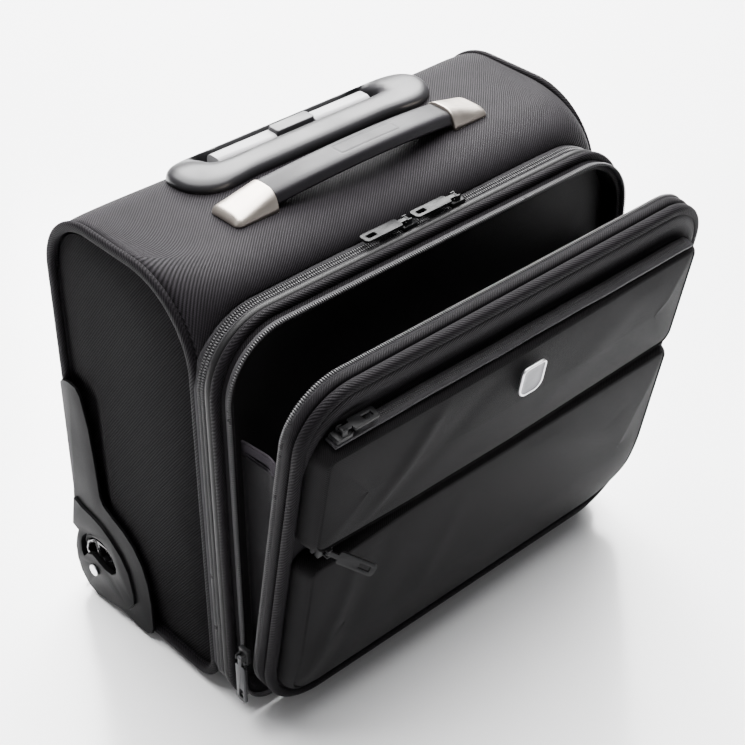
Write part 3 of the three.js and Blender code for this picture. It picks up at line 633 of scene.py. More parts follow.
def ring_teeth(name, loop_facts, depth, length, pitch, place, out=0.0, shift=0.0):
    """Teeth round a loop: each lies across the loop's plane, from depth backwards or forwards."""
    loop, normals, _, _ = loop_facts
    places = place(loop[:, 0] + normals[:, 0] * out, depth + 0 * loop[:, 0], loop[:, 1] + normals[:, 1] * out)
    reach = place(loop[:, 0], depth + np.sign(length) + 0 * loop[:, 0], loop[:, 1])
    across = reach - place(loop[:, 0], depth + 0 * loop[:, 0], loop[:, 1])
    origin = place(np.zeros(1), np.zeros(1), np.zeros(1))
    outward = place(normals[:, 0], np.zeros(len(loop)), normals[:, 1]) - origin
    return zip_teeth(name, places, across, outward, abs(length), pitch, shift=shift)


def strip_profile(*corners):
    """A closed profile from its corners: pairs of distance out and depth."""
    return np.array(corners)


coil_black = coil_nylon("coil_black")
tape_black = zip_tape("tape_black")
mouth_facts = rounded_loop(-HALF_WIDTH, 0, HALF_WIDTH, MOUTH_TOP, MOUTH_RADII, MAIN_PITCH)
mouth_loop = rounded_loop(-HALF_WIDTH, 0, HALF_WIDTH, MOUTH_TOP, MOUTH_RADII, 3 * MM)


def mouth_ring(name, profile, material, node, body):
    """One cloth ring round the mouth, riding its body."""
    mesh = carried_ring(name, *mouth_loop[:3], profile * MM, body_place)
    return new_piece(name, mesh, material, body, node)


body_tape = strip_profile(
    (0.1, 0.4), (0.1, 4.6), (0.5, 5.0), (1.0, 7.2), (0.6, 8.6), (-1.0, 9.2), (-1.4, 8.0), (-1.2, 0.4),
)
mouth_ring("main_tape_body", body_tape, tape_black, ["main_zip_body_half"], "case")
teeth = ring_teeth("main_teeth_body", mouth_facts, -0.3 * MM, 4.7 * MM, MAIN_PITCH, body_place, 0.5 * MM)
new_piece("main_teeth_body", teeth, coil_black, "case")

# ---------------------------------------------------------------------------------------------
# Lid: a twill band stiffened with board, between the main zip and the front zip. A smooth rolled
# binding runs beside the main zip, then a piping of twill, then a recess down to the front zip.
# ---------------------------------------------------------------------------------------------

lid_tape = strip_profile(
    (-1.2, -0.4), (-1.4, -5.6), (0.3, -5.6), (0.3, -4.9), (0.1, -4.6), (0.1, -0.4),
)
mouth_ring("main_tape_lid", lid_tape, tape_black, ["main_zip_lid_half"], "lid")
teeth = ring_teeth(
    "main_teeth_lid", mouth_facts, 0.3 * MM, -4.7 * MM, MAIN_PITCH, body_place, 0.5 * MM,
    shift=0.5 * MAIN_PITCH,
)
new_piece("main_teeth_lid", teeth, coil_black, "lid")


def smooth_binding(name, colour):
    """Coated binding tape: smooth and dark, with a very fine grain and soft puckers."""
    rough = 0.5
    material, add, wire, shader = material_nodes(name)
    cloth = add("ShaderNodeUVMap", uv_map="metres").outputs["UV"]
    grain = add("ShaderNodeTexNoise", {"Vector": cloth, "Scale": 2400.0, "Detail": 2.0})
    pucker = add("ShaderNodeTexNoise", {"Vector": cloth, "Scale": 90.0, "Detail": 2.0})
    height = add(
        "ShaderNodeMath", {0: grain.outputs["Fac"], 1: 0.3, 2: pucker.outputs["Fac"]},
        operation="MULTIPLY_ADD",
    )
    bump = add("ShaderNodeBump", {"Height": height.outputs[0], "Strength": 0.2, "Distance": 0.0008})
    wire(bump.outputs[0], "Normal")
    # Painted shade and light: the colour darkens in the hollows of the pucker noise that also raises the
    # bump, and lightens on its rises.
    tone = add(
        "ShaderNodeMix",
        {"Factor": pucker.outputs["Fac"], 6: grey(colour, 0.8), 7: grey(colour, 1.3)},
        data_type="RGBA",
    )
    wire(tone.outputs[2], "Base Color")
    shine = add(
        "ShaderNodeMapRange",
        {"Value": grain.outputs["Fac"], "To Min": rough - 0.08, "To Max": rough + 0.12},
    )
    wire(shine.outputs[0], "Roughness")
    shader.inputs["Sheen Weight"].default_value = 0.02
    shader.inputs["Specular IOR Level"].default_value = 0.16
    return material


binding_black = smooth_binding("binding_black", (0.003, 0.0028, 0.0031))
band_twill = twill_cloth("band_twill", TWILL_BLACK, 1.7 * MM, 45, lift=2.2, gloss=0.04)

rolled = strip_profile(
    (-0.6, -5.5), (1.3, -5.9), (2.4, -7.4), (2.8, -9.2), (2.4, -11.2), (1.2, -12.6), (-0.6, -13.0),
    (-2.4, -12.6), (-2.4, -5.9),
)
mesh = carried_ring("lid_roll", *mouth_loop[:3], rolled * MM, body_place)
new_piece("lid_roll", mesh, binding_black, "lid")

lid_roll_profile = (oval_profile(3.6, 3.9, 14) + np.array([0.4, -17.0])) * MM
mesh = carried_ring("lid_piping_roll", *mouth_loop[:3], lid_roll_profile, body_place)
new_piece("lid_piping_roll", mesh, piping_twill, "lid", ["lid_piping"])

band = strip_profile(
    (-2.2, -5.9), (-2.2, -20.4), (-2.0, -22.0), (-2.2, -27.4), (-7.6, -27.6), (-8.0, -26.0), (-8.0, -6.4),
    (-7.6, -5.9),
)
mesh = carried_ring("lid_band_cloth", *mouth_loop[:3], band * MM, body_place)
lid_band = new_piece("lid_band_cloth", mesh, band_twill, "lid", ["lid_band"])

# ---------------------------------------------------------------------------------------------
# Divider of the lid: a thin board covered with lining, the rear wall of the front compartment.
# The lining isn't stuck down, so it lies in soft diagonal creases.
# ---------------------------------------------------------------------------------------------

LINING_DARK = (0.0045, 0.004, 0.0046)


def thin_lining(name, colour=LINING_DARK):
    """Plain-woven lining: a fine square weave 0.5 mm apart, thin, with a faint satin sheen."""
    material, add, wire, shader = material_nodes(name)
    cloth = add("ShaderNodeUVMap", uv_map="metres").outputs["UV"]
    over = add("ShaderNodeTexWave", {"Vector": cloth, "Scale": 0.314 / (0.6 * MM)})
    under = add(
        "ShaderNodeTexWave", {"Vector": cloth, "Scale": 0.314 / (0.6 * MM)}, bands_direction="Y",
    )
    weave = add(
        "ShaderNodeMath", {0: over.outputs["Fac"], 1: under.outputs["Fac"]}, operation="MULTIPLY",
    )
    fold = add("ShaderNodeTexNoise", {"Vector": cloth, "Scale": 26.0, "Detail": 3.0})
    # Painted shade and light: the weave's raised threads are lighter and its hollows darker, and the colour
    # darkens in the hollows of the fold noise that also raises the bump, as painted shade of the folds.
    tone = add(
        "ShaderNodeMix",
        {"Factor": weave.outputs[0], 6: grey(colour, 0.6), 7: grey(colour, 1.9)},
        data_type="RGBA",
    )
    fold_shade = add(
        "ShaderNodeMix",
        {"Factor": 0.5, 6: tone.outputs[2], 7: fold.outputs["Fac"]},
        data_type="RGBA", blend_type="MULTIPLY",
    )
    wire(fold_shade.outputs[2], "Base Color")
    height = add(
        "ShaderNodeMath", {0: weave.outputs[0], 1: 0.15, 2: fold.outputs["Fac"]},
        operation="MULTIPLY_ADD",
    )
    bump = add("ShaderNodeBump", {"Height": height.outputs[0], "Strength": 0.25, "Distance": 0.002})
    wire(bump.outputs[0], "Normal")
    shader.inputs["Roughness"].default_value = 0.62
    shader.inputs["Sheen Weight"].default_value = 0.03
    shader.inputs["Specular IOR Level"].default_value = 0.12
    return material


def filled_loop(loop, low, high, rings):
    """A loop's points shrunk in rings on to a level spine line between two widths.

    Ring 0 is the loop. Ring 1 is the spine: each point keeps its width, held between low and
    high, and takes the middle height of the loop.
    """
    middle = (loop[:, 1].min() + loop[:, 1].max()) / 2
    spine = np.stack([np.clip(loop[:, 0], low, high), np.full(len(loop), middle)], -1)
    rings = np.asarray(rings)[:, None, None]
    return loop * (1 - rings) + spine * rings


def creases(x, z, lines):
    """Soft folds in a cloth: for each line, a ridge along it that fades out at its two ends.

    A line is two end points, a height and a width. The ridge is a bell across the line.
    """
    total = 0 * x
    for (x0, z0), (x1, z1), height, width in lines:
        length = np.hypot(x1 - x0, z1 - z0)
        ux, uz = (x1 - x0) / length, (z1 - z0) / length
        along = ((x - x0) * ux + (z - z0) * uz) / length
        aside = (-(x - x0) * uz + (z - z0) * ux) / width
        fade = np.clip(np.sin(np.pi * np.clip(along, 0, 1)), 0, 1) ** 0.6
        total = total + height * fade * np.exp(-(aside**2))
    return total


def board_mesh(name, loop_facts, low, high, front, rear, place, relief, margin=6 * MM):
    """A covered board: front face in rings from the loop to its spine, edge, and rear face.

    relief(x, z, edge) lifts the front face, edge being the distance from the loop.
    """
    loop, _, along, _ = loop_facts
    shares = np.concatenate([np.linspace(0, 0.25, 12), np.linspace(0.25, 1, 30)[1:]])
    face = filled_loop(loop, low, high, shares)
    edge = np.linalg.norm(face - loop, axis=-1)
    x, z = face[..., 0], face[..., 1]
    front_y = front - relief(x, z, edge) + margin * 0.3 * np.exp(-edge / (2 * MM))
    rear_face = filled_loop(loop, low, high, [0.0, 0.03, 0.5, 1.0])
    rear_y = np.full(rear_face.shape[:2], rear)
    flat = np.concatenate([face[::-1], rear_face], 0)
    depth = np.concatenate([front_y[::-1], rear_y], 0)
    places = place(flat[..., 0], depth, flat[..., 1])
    rows = np.arange(len(flat)) * MM
    mesh = cloth_mesh(name, places, (rows, along), close_v=True)
    corners = np.concatenate([flat.reshape(-1, 2)])
    index = np.empty(len(mesh.loops), int)
    mesh.loops.foreach_get("vertex_index", index)
    mesh.uv_layers["metres"].data.foreach_set("uv", corners[index].astype(np.float32).ravel())
    return merge_corners(mesh)


lining_dark = thin_lining("lining_dark")
DIVIDER_INSET = 8.4 * MM
divider_loop = rounded_loop(
    -HALF_WIDTH + DIVIDER_INSET, DIVIDER_INSET, HALF_WIDTH - DIVIDER_INSET, MOUTH_TOP - DIVIDER_INSET,
    [r - DIVIDER_INSET for r in MOUTH_RADII], 7 * MM,
)
DIVIDER_FOLDS = [
    ((-0.19, 0.30), (-0.05, 0.10), 1.2 * MM, 9 * MM),
    ((-0.15, 0.33), (0.02, 0.20), 1.0 * MM, 7 * MM),
    ((0.18, 0.31), (0.06, 0.12), 1.2 * MM, 10 * MM),
    ((-0.02, 0.34), (0.11, 0.22), 0.9 * MM, 6 * MM),
]


def divider_relief(x, z, edge):
    """Loose lining over board: the folds, a low wave and a tuck beside the edge."""
    wave = 0.6 * MM * np.sin(x * 37 + z * 21) * np.sin(z * 33 - x * 9)
    return (creases(x, z, DIVIDER_FOLDS) + wave) * np.clip(edge / (20 * MM), 0, 1)


mesh = board_mesh(
    "divider", divider_loop, -0.16, 0.16, -11 * MM, -8.2 * MM, body_place, divider_relief, 0,
)
divider = new_piece("divider_lining", mesh, lining_dark, "lid", ["lid_divider"])

LINING_HALF = 183 * MM
tube_cover_loop = rounded_loop(
    -LINING_HALF, WALL + 0.4 * MM, LINING_HALF, 348 * MM, [4 * MM] * 4, 8 * MM,
)
mesh = board_mesh(
    "tube_cover", tube_cover_loop, -0.12, 0.12, 130 * MM, 132 * MM, body_place, divider_relief, 0,
)
cover = new_piece("tube_cover_lining", mesh, lining_dark, "case", ["back_lining_panel"])

# ---------------------------------------------------------------------------------------------
# Front zip: a smaller coil zip between the lid and the front panel, undone. Each half is a narrow
# tape with one row of teeth on its free edge.
# ---------------------------------------------------------------------------------------------

FRONT_PITCH = 2.05 * MM
LID_INSET = 2 * MM
PANEL_PLANE = -32 * MM
HINGE_HEIGHT = 2 * MM
LEAN = math.radians(10)
front_facts = rounded_loop(
    -HALF_WIDTH + LID_INSET, LID_INSET, HALF_WIDTH - LID_INSET, MOUTH_TOP - LID_INSET,
    [r - LID_INSET for r in MOUTH_RADII], FRONT_PITCH,
)
front_loop = rounded_loop(
    -HALF_WIDTH + LID_INSET, LID_INSET, HALF_WIDTH - LID_INSET, MOUTH_TOP - LID_INSET,
    [r - LID_INSET for r in MOUTH_RADII], 3 * MM,
)
lid_front_tape = strip_profile(
    (0.2, -25.6), (0.4, -28.2), (0.0, -30.8), (-0.8, -31.0), (-1.0, -28.4), (-1.2, -25.6),
)
mesh = carried_ring("front_tape_lid", *front_loop[:3], lid_front_tape * MM, body_place)
new_piece("front_tape_lid", mesh, tape_black, "lid", ["front_zip_lid_half"])
teeth = ring_teeth("front_teeth_lid", front_facts, -27.6 * MM, -4.3 * MM, FRONT_PITCH, body_place, 0.6 * MM)
new_piece("front_teeth_lid", teeth, coil_black, "lid")


def panel_place(x, y, z):
    """Row-frame places from the panel's own measures: y ahead of its zip, z up from its hinge.

    The panel stands open: its plane is turned 10 degrees forward about the hinge line.
    """
    back = PANEL_PLANE + y * math.cos(LEAN) - z * math.sin(LEAN)
    up = HINGE_HEIGHT + y * math.sin(LEAN) + z * math.cos(LEAN)
    return body_place(x, back, up)


PANEL_BOTTOM = 8 * MM
PANEL_HIGH = 361 * MM
PANEL_RADII = (60 * MM, 60 * MM, 48 * MM, 48 * MM)
panel_facts = rounded_loop(-HALF_WIDTH, PANEL_BOTTOM, HALF_WIDTH, PANEL_HIGH, PANEL_RADII, FRONT_PITCH)
panel_loop = rounded_loop(-HALF_WIDTH, PANEL_BOTTOM, HALF_WIDTH, PANEL_HIGH, PANEL_RADII, 3 * MM)

panel_tape = strip_profile(
    (-1.2, -0.6), (-0.8, -0.2), (-0.4, -2.6), (-0.2, -5.4), (-2.2, -5.4), (-1.8, -2.6),
)
mesh = carried_ring("front_tape_panel", *panel_loop[:3], panel_tape * MM, panel_place)
new_piece("front_tape_panel", mesh, tape_black, "front_panel", ["front_zip_panel_half"])
teeth = ring_teeth("front_teeth_panel", panel_facts, 0.2 * MM, -4.5 * MM, FRONT_PITCH, panel_place, 0.0)
new_piece("front_teeth_panel", teeth, coil_black, "front_panel")

# ---------------------------------------------------------------------------------------------
# Front panel: a board covered with twill, with a rolled binding and a twill piping round its edge.
# The cover is padded at the margin and dips behind the upper pocket.
# ---------------------------------------------------------------------------------------------

panel_roll = strip_profile(
    (-1.4, -4.8), (-0.2, -5.2), (0.6, -7.0), (0.7, -9.0), (0.3, -11.2), (-0.8, -12.2), (-3.0, -12.4),
    (-5.8, -12.0), (-6.0, -5.2), (-3.0, -4.8),
)
mesh = carried_ring("panel_roll", *panel_loop[:3], panel_roll * MM, panel_place)
panel_band = new_piece("panel_roll", mesh, band_twill, "front_panel", ["panel_band"])

panel_piping_profile = (oval_profile(4.2, 4.6, 16) + np.array([-3.7, -17.2])) * MM
mesh = carried_ring("panel_piping_roll", *panel_loop[:3], panel_piping_profile, panel_place)
new_piece("panel_piping_roll", mesh, piping_twill, "front_panel", ["panel_piping"])

BOARD_INSET = 6.2 * MM
board_loop = rounded_loop(
    -HALF_WIDTH + BOARD_INSET, PANEL_BOTTOM + BOARD_INSET, HALF_WIDTH - BOARD_INSET,
    PANEL_HIGH - BOARD_INSET, [r - BOARD_INSET for r in PANEL_RADII], 4 * MM,
)


def board_relief(x, z, edge):
    """The margin roll, strong along the top and corners and absent behind the pockets."""
    upper = np.clip((z - 0.285) / 0.03, 0, 1)
    return 5.5 * MM * np.exp(-(((edge - 7 * MM) / (11 * MM)) ** 2)) * upper


mesh = board_mesh(
    "board", board_loop, -0.14, 0.14, -17 * MM, -11 * MM, panel_place, board_relief, 0,
)
board_twill = twill_cloth("board_twill", TWILL_BLACK, 1.9 * MM, 62, lift=3.0)
board = new_piece("panel_board_cover", mesh, board_twill, "front_panel", ["panel_board"])

# ---------------------------------------------------------------------------------------------
# Pockets of the front panel: two pouches of fine nylon. Each has a side wall sewn to the board
# and a seam round its face. The lower one is a wedge that opens upwards; the upper one stands
# off the board along its whole top and hangs over the lower zip as a flap.
# ---------------------------------------------------------------------------------------------

POCKET_FOOT = -17.4 * MM
POCKET_HALF = 205 * MM
LOWER_TOP = 209.6 * MM
UPPER_FOOT = 210.8 * MM
UPPER_TOP = 321 * MM
POCKET_BLACK = (0.0034, 0.0031, 0.0034)


pocket_twill = twill_cloth("pocket_twill", POCKET_BLACK, 1.25 * MM, 38, depth=0.4, lift=1.6, gloss=0.05)


WALL_SHARES = (0.0, 0.15, 0.35, 0.55, 0.75, 0.9)
SEAM_SECTION = [
    (4.2, -0.9), (4.2, -0.9), (4.5, -0.3), (4.9, 0.1), (5.3, -0.2), (5.6, -1.3), (6.0, -1.5),
    (6.4, -1.2),
]


def pouch_mesh(name, z0, z1, radii, wall_depth, face_rise, folds, droop):
    """A pouch as one closed surface: back, side wall, raised seam and swollen face.

    The side wall rises from the board to wall_depth(x, z). The face then swells by face_rise
    over 30 mm from the seam, with the folds on top. The seam is a rounded edge and a groove
    beside it. droop(x, z) lowers the cloth. Rows run from the middle of the back, over the wall,
    to the face's spine. The wall is a strip of its own, with its own length along the weave, so
    its first and last row lie on the back's last row and the seam's first.
    """
    loop, normals, along, _ = rounded_loop(-POCKET_HALF, z0, POCKET_HALF, z1, radii, 3 * MM)
    x, z = loop[:, 0], loop[:, 1]
    depth = wall_depth(x, z)
    back = filled_loop(loop, -0.14, 0.14, [1.0, 0.5, 0.04, 0.0])
    rows = [(back, np.zeros(back.shape[:2]))]
    lean_in = 4.0 * MM
    for share in WALL_SHARES:
        bow = 1.6 * MM * np.sin(np.pi * share)
        rows.append(((loop - normals * (lean_in * share - bow))[None], (depth * share)[None]))
    first_wall = len(back)
    last_wall = first_wall + len(WALL_SHARES)
    for inwards, rise in SEAM_SECTION:
        rows.append(((loop - normals * inwards * MM)[None], (depth + rise * MM)[None]))
    inner = loop - normals * 7.2 * MM
    shares = np.concatenate([np.linspace(0, 0.3, 16), np.linspace(0.3, 1, 34)[1:]])
    face = filled_loop(inner, -0.16, 0.16, shares)
    edge = np.linalg.norm(face - inner, axis=-1)
    fx, fz = face[..., 0], face[..., 1]
    face_depth = wall_depth(fx, fz) - 0.4 * MM + face_rise * (1 - np.exp(-edge / (22 * MM)))
    face_depth = face_depth + creases(fx, fz, folds) * np.clip(edge / (14 * MM), 0, 1)
    rows.append((face, face_depth))
    flat = np.concatenate([row[0] for row in rows])
    lift = np.concatenate([row[1] for row in rows])
    height = flat[..., 1] - droop(flat[..., 0], flat[..., 1])
    places = panel_place(flat[..., 0], POCKET_FOOT - lift, height)
    mesh = cloth_mesh(name, places, (lift.mean(1), along), close_v=True, flip=True)
    index = np.empty(len(mesh.loops), int)
    mesh.loops.foreach_get("vertex_index", index)
    strip_uv = np.empty(len(mesh.loops) * 2, np.float32)
    layer = mesh.uv_layers["metres"]
    layer.data.foreach_get("uv", strip_uv)
    strip = np.arange(len(mesh.loops)) // (4 * len(along))
    on_wall = (strip >= first_wall) & (strip < last_wall)
    uv = np.where(on_wall[:, None], strip_uv.reshape(-1, 2), flat.reshape(-1, 2)[index])
    layer.data.foreach_set("uv", uv.astype(np.float32).ravel())
    return merge_corners(mesh)


def lower_wall(x, z):
    """Wall of the lower pouch: 4 mm at its foot, growing to 19 mm over 80 mm of height."""
    grown = np.clip((z - 14 * MM) / (85 * MM), 0, 1)
    return 3.5 * MM + 15.5 * MM * grown * (2 - grown) ** 0.8 * (1 - 0.12 * (x > 0) * x / POCKET_HALF)


def upper_wall(x, z):
    """Wall of the upper pouch: 19 mm, a little less on the right where it is pressed flat."""
    return 19.5 * MM - 4.5 * MM * np.clip(x / POCKET_HALF, 0, 1) + 0 * z


def lower_droop(x, z):
    """The lower pouch's top edge sinks by 7 mm towards the left, where its slider hangs."""
    to_the_left = np.clip((-x - 85 * MM) / (85 * MM), 0, 1) ** 1.5
    to_the_top = np.clip((z - 120 * MM) / (85 * MM), 0, 1)
    return 7 * MM * to_the_left * to_the_top


def upper_droop(x, z):
    """The flap's lower edge lifts by 3 mm at the left, where it curls over the slider."""
    return -3 * MM * np.clip((-x - 110 * MM) / (70 * MM), 0, 1) * np.clip((250 * MM - z) / (35 * MM), 0, 1)


LOWER_FOLDS = [
    ((-0.155, 0.19), (-0.195, 0.04), 2.4 * MM, 9 * MM),
    ((-0.125, 0.205), (-0.175, 0.02), -1.6 * MM, 12 * MM),
    ((0.15, 0.16), (0.20, 0.05), 1.1 * MM, 16 * MM),
    ((0.02, 0.20), (0.17, 0.13), 1.2 * MM, 14 * MM),
    ((-0.10, 0.12), (0.06, 0.03), 1.0 * MM, 20 * MM),
    ((-0.04, 0.19), (-0.09, 0.08), 0.8 * MM, 11 * MM),
]
UPPER_FOLDS = [
    ((-0.17, 0.215), (-0.08, 0.32), 2.2 * MM, 8 * MM),
    ((-0.15, 0.225), (-0.02, 0.315), -1.4 * MM, 12 * MM),
    ((0.13, 0.315), (0.20, 0.255), 1.2 * MM, 12 * MM),
    ((0.10, 0.31), (0.19, 0.235), -0.9 * MM, 13 * MM),
    ((0.02, 0.24), (0.14, 0.30), 1.0 * MM, 16 * MM),
]
lower_radii = (50 * MM, 50 * MM, 12 * MM, 12 * MM)
mesh = pouch_mesh("lower_pouch", 17.6 * MM, LOWER_TOP, lower_radii, lower_wall, 4.5 * MM, LOWER_FOLDS,
                  lower_droop)
lower_pouch = new_piece("lower_pouch", mesh, pocket_twill, "front_panel", ["lower_pocket"])
upper_radii = (16 * MM, 16 * MM, 12 * MM, 12 * MM)
mesh = pouch_mesh("upper_pouch", UPPER_FOOT, UPPER_TOP, upper_radii, upper_wall, 5.0 * MM, UPPER_FOLDS,
                  upper_droop)
upper_pouch = new_piece("upper_pouch", mesh, pocket_twill, "front_panel", ["upper_pocket"])

# ---------------------------------------------------------------------------------------------
# Pocket zips: one closed coil zip along the top of the upper pouch and one under its flap. Two
# rows of teeth meet between two tapes.
# ---------------------------------------------------------------------------------------------

POCKET_PITCH = 1.9 * MM


def pocket_zip(name, half, facing, height, depth, wide, node):
    """Two straight tapes and two rows of teeth along the width.

    facing is up for the zip on the upper pouch and out for the one under the flap. Across the
    zip its tapes are slightly hollow, and each end is turned in.
    """
    x = np.linspace(-half, half, 100)
    across = np.array([-1.0, -0.55, -0.1, 0.1, 0.55, 1.0, 1.0, -1.0]) * wide
    rise = np.array([0.0, 0.5, 0.9, 0.9, 0.5, 0.0, -2.4, -2.4]) * MM
    sag = 0.8 * MM * np.sin(x * 47) + 0.5 * MM * np.sin(x * 113 + 1)
    grid_x = x[:, None] + 0 * across[None]
    if facing == "up":
        y, z = depth + across[None] + 0 * grid_x, height + rise[None] + 0.4 * sag[:, None]
    else:
        y, z = depth - rise[None] + 0 * grid_x, height + across[None] + 0.3 * sag[:, None]
    places = panel_place(grid_x, y, z)
    caps = np.repeat(places.mean(1, keepdims=True), places.shape[1], 1)
    places = np.concatenate([caps[:1], places, caps[-1:]], 0)
    along = np.concatenate([x[:1], x, x[-1:]])
    running = profile_length(np.stack([across, rise], -1))
    mesh = cloth_mesh(name, places, (along, running), False, True, flip=facing != "up")
    tape = new_piece(name, merge_corners(mesh), tape_black, "front_panel", [node])
    stations = np.arange(-half + 4 * MM, half - 4 * MM, POCKET_PITCH)
    sag = np.interp(stations, x, sag)
    for side in (-1, 1):
        shift = 0.5 * POCKET_PITCH * (side > 0)
        if facing == "up":
            spots = panel_place(stations + shift, depth - side * 0.3 * MM + 0 * stations,
                                height + 0.9 * MM + 0.4 * sag)
            reach = panel_place(stations + shift, depth + side + 0 * stations, height + 0.9 * MM + 0.4 * sag)
            base = panel_place(stations + shift, depth + 0 * stations, height + 0.9 * MM + 0.4 * sag)
            outward = panel_place(0.0, 0.0, 1.0) - panel_place(0.0, 0.0, 0.0)
        else:
            spots = panel_place(stations + shift, depth - 0.9 * MM + 0 * stations,
                                height - side * 0.3 * MM + 0.3 * sag)
            reach = panel_place(stations + shift, depth - 0.9 * MM + 0 * stations, height + side + 0.3 * sag)
            base = panel_place(stations + shift, depth - 0.9 * MM + 0 * stations, height + 0.3 * sag)
            outward = panel_place(0.0, -1.0, 0.0) - panel_place(0.0, 0.0, 0.0)
        across_row = reach - base
        row = zip_teeth(
            name, spots, across_row, np.broadcast_to(outward, spots.shape), 3.0 * MM, POCKET_PITCH,
        )
        half_name = "near" if side < 0 else "far"
        new_piece(f"{name}_teeth_{half_name}", row, coil_black, "front_panel")
    return tape


pocket_zip("upper_zip", 192 * MM, "up", UPPER_TOP + 3.6 * MM, -27 * MM, 5.6 * MM, "upper_pocket_zip")
pocket_zip("lower_zip", 196 * MM, "out", 214 * MM, -28.4 * MM, 3.6 * MM, "lower_pocket_zip")

# ---------------------------------------------------------------------------------------------
# Badge: a plain satin plate with a raised bright rim, pinned through the face of the upper pouch.
# ---------------------------------------------------------------------------------------------


def satin_plate(name, colour, rough, grain=900.0):
    """Plated metal: even colour, fine brushed grain, and a slow drift of wear in its gloss."""
    material, add, wire, shader = material_nodes(name)
    place = add("ShaderNodeTexCoord").outputs["Object"]
    long_grain = add("ShaderNodeMapping", {"Vector": place, "Scale": (0.08, 1.0, 1.0)})
    brushed = add("ShaderNodeTexNoise", {"Vector": long_grain.outputs[0], "Scale": grain, "Detail": 2.0})
    wear = add("ShaderNodeTexNoise", {"Vector": place, "Scale": 60.0, "Detail": 3.0})
    mixed = add(
        "ShaderNodeMath", {0: brushed.outputs["Fac"], 1: 0.5, 2: wear.outputs["Fac"]},
        operation="MULTIPLY_ADD",
    )
    shine = add(
        "ShaderNodeMapRange",
        {"Value": mixed.outputs[0], "From Min": 0.4, "From Max": 1.1, "To Min": rough - 0.08,
         "To Max": rough + 0.14},
    )
    wire(shine.outputs[0], "Roughness")
    tone = add(
        "ShaderNodeMix", {"Factor": wear.outputs["Fac"], 6: grey(colour, 0.88), 7: grey(colour, 1.1)},
        data_type="RGBA",
    )
    wire(tone.outputs[2], "Base Color")
    bump = add("ShaderNodeBump", {"Height": brushed.outputs["Fac"], "Strength": 0.05, "Distance": 0.0003})
    wire(bump.outputs[0], "Normal")
    shader.inputs["Metallic"].default_value = 1.0
    return material


badge_rim = satin_plate("badge_rim", (0.62, 0.61, 0.62), 0.28)
badge_field = satin_plate("badge_field", (0.10, 0.10, 0.105), 0.38)


def badge_mesh():
    """A plate in rings: a side wall, a rim raised half a millimetre, and a sunk plain field."""
    loop, normals, along, _ = rounded_loop(
        -13 * MM, 276 * MM, 13 * MM, 306 * MM, [9 * MM, 9 * MM, 5 * MM, 5 * MM], 1.5 * MM,
    )
    steps = [(12.9, 0.0), (0.3, 0.0), (0.0, 0.4), (0.0, 2.0), (0.5, 2.5), (1.5, 2.5), (1.9, 2.1),
             (2.2, 1.9), (6.0, 2.0), (12.9, 2.1)]
    middle = np.array([0.0, 291 * MM])
    rows = []
    for inwards, rise in steps:
        inset = loop - normals * inwards * MM
        shrunk = inset if inwards < 6 else middle + (loop - middle) * (1 - inwards / 13)
        rows.append(panel_place(shrunk[:, 0], -42.8 * MM - rise * MM + 0 * along, shrunk[:, 1]))
    rise = np.arange(len(steps)) * MM
    mesh = cloth_mesh("badge", np.stack(rows), (rise, along), close_v=True, flip=True)
    in_field = np.repeat(np.arange(len(steps) - 1) >= 6, len(loop))
    mesh.polygons.foreach_set("material_index", in_field.astype(np.int32))
    return merge_corners(mesh)


badge_piece_mesh = badge_mesh()
badge_piece_mesh.materials.append(badge_rim)
badge_piece_mesh.materials.append(badge_field)
new_piece("badge", badge_piece_mesh, None, "front_panel", ["badge_plate"])

# ---------------------------------------------------------------------------------------------
# Gussets: a folded wedge of lining at each side of the front compartment, sewn to the lid and to
# the panel, with a ribbon bound over its upper edge. It stops the panel as it opens.
# ---------------------------------------------------------------------------------------------

GUSSET_X = 200 * MM
GUSSET_FOOT = 44 * MM
GUSSET_TOP = 265 * MM
GUSSET_LID_Y = -24 * MM
GUSSET_PANEL_Y = -8 * MM


def gusset_mesh(sign, share_low, share_high, thick, rows=34):
    """Cloth between the lid's edge and the panel's edge, between two shares of its height.

    Across, the cloth bows inwards by a sine of 5 mm and carries a pressed fold in its middle.
    The sheet has two faces, thick apart.
    """
    columns = 16
    rise = np.linspace(share_low, share_high, rows)[:, None]
    across = np.linspace(0, 1, columns)[None, :]
    height = GUSSET_FOOT + (GUSSET_TOP - GUSSET_FOOT) * rise
    on_lid = body_place(0 * rise, GUSSET_LID_Y + 0 * rise, height + HINGE_HEIGHT)
    on_panel = panel_place(0 * rise, GUSSET_PANEL_Y + 0 * rise, height)
    places = on_lid * (1 - across[..., None]) + on_panel * across[..., None]
    bow = 5 * MM * np.sin(np.pi * across) * np.clip(rise * 1.4, 0, 1)
    bow = bow + 1.4 * MM * np.sin(rise * 17 + across * 3) * np.sin(np.pi * across)
    bow = bow - 2.2 * MM * np.exp(-(((across - 0.52) / 0.05) ** 2)) * rise
    near = places.copy()
    near[..., 0] = sign * (GUSSET_X - bow)
    far = places.copy()
    far[..., 0] = sign * (GUSSET_X - bow - thick)
    sheet = np.concatenate([near, far[:, ::-1]], 1)
    caps = np.repeat(sheet.mean(1, keepdims=True), sheet.shape[1], 1)
    sheet = np.concatenate([caps[:1], sheet, caps[-1:]], 0)
    steps = np.concatenate([height[:1, 0], height[:, 0], height[-1:, 0]])
    width = np.linspace(0, 0.065, columns)
    mesh = cloth_mesh("gusset", sheet, (steps, np.concatenate([width, width[::-1] + 0.1])), False, True,
                      flip=sign < 0)
    return merge_corners(mesh)


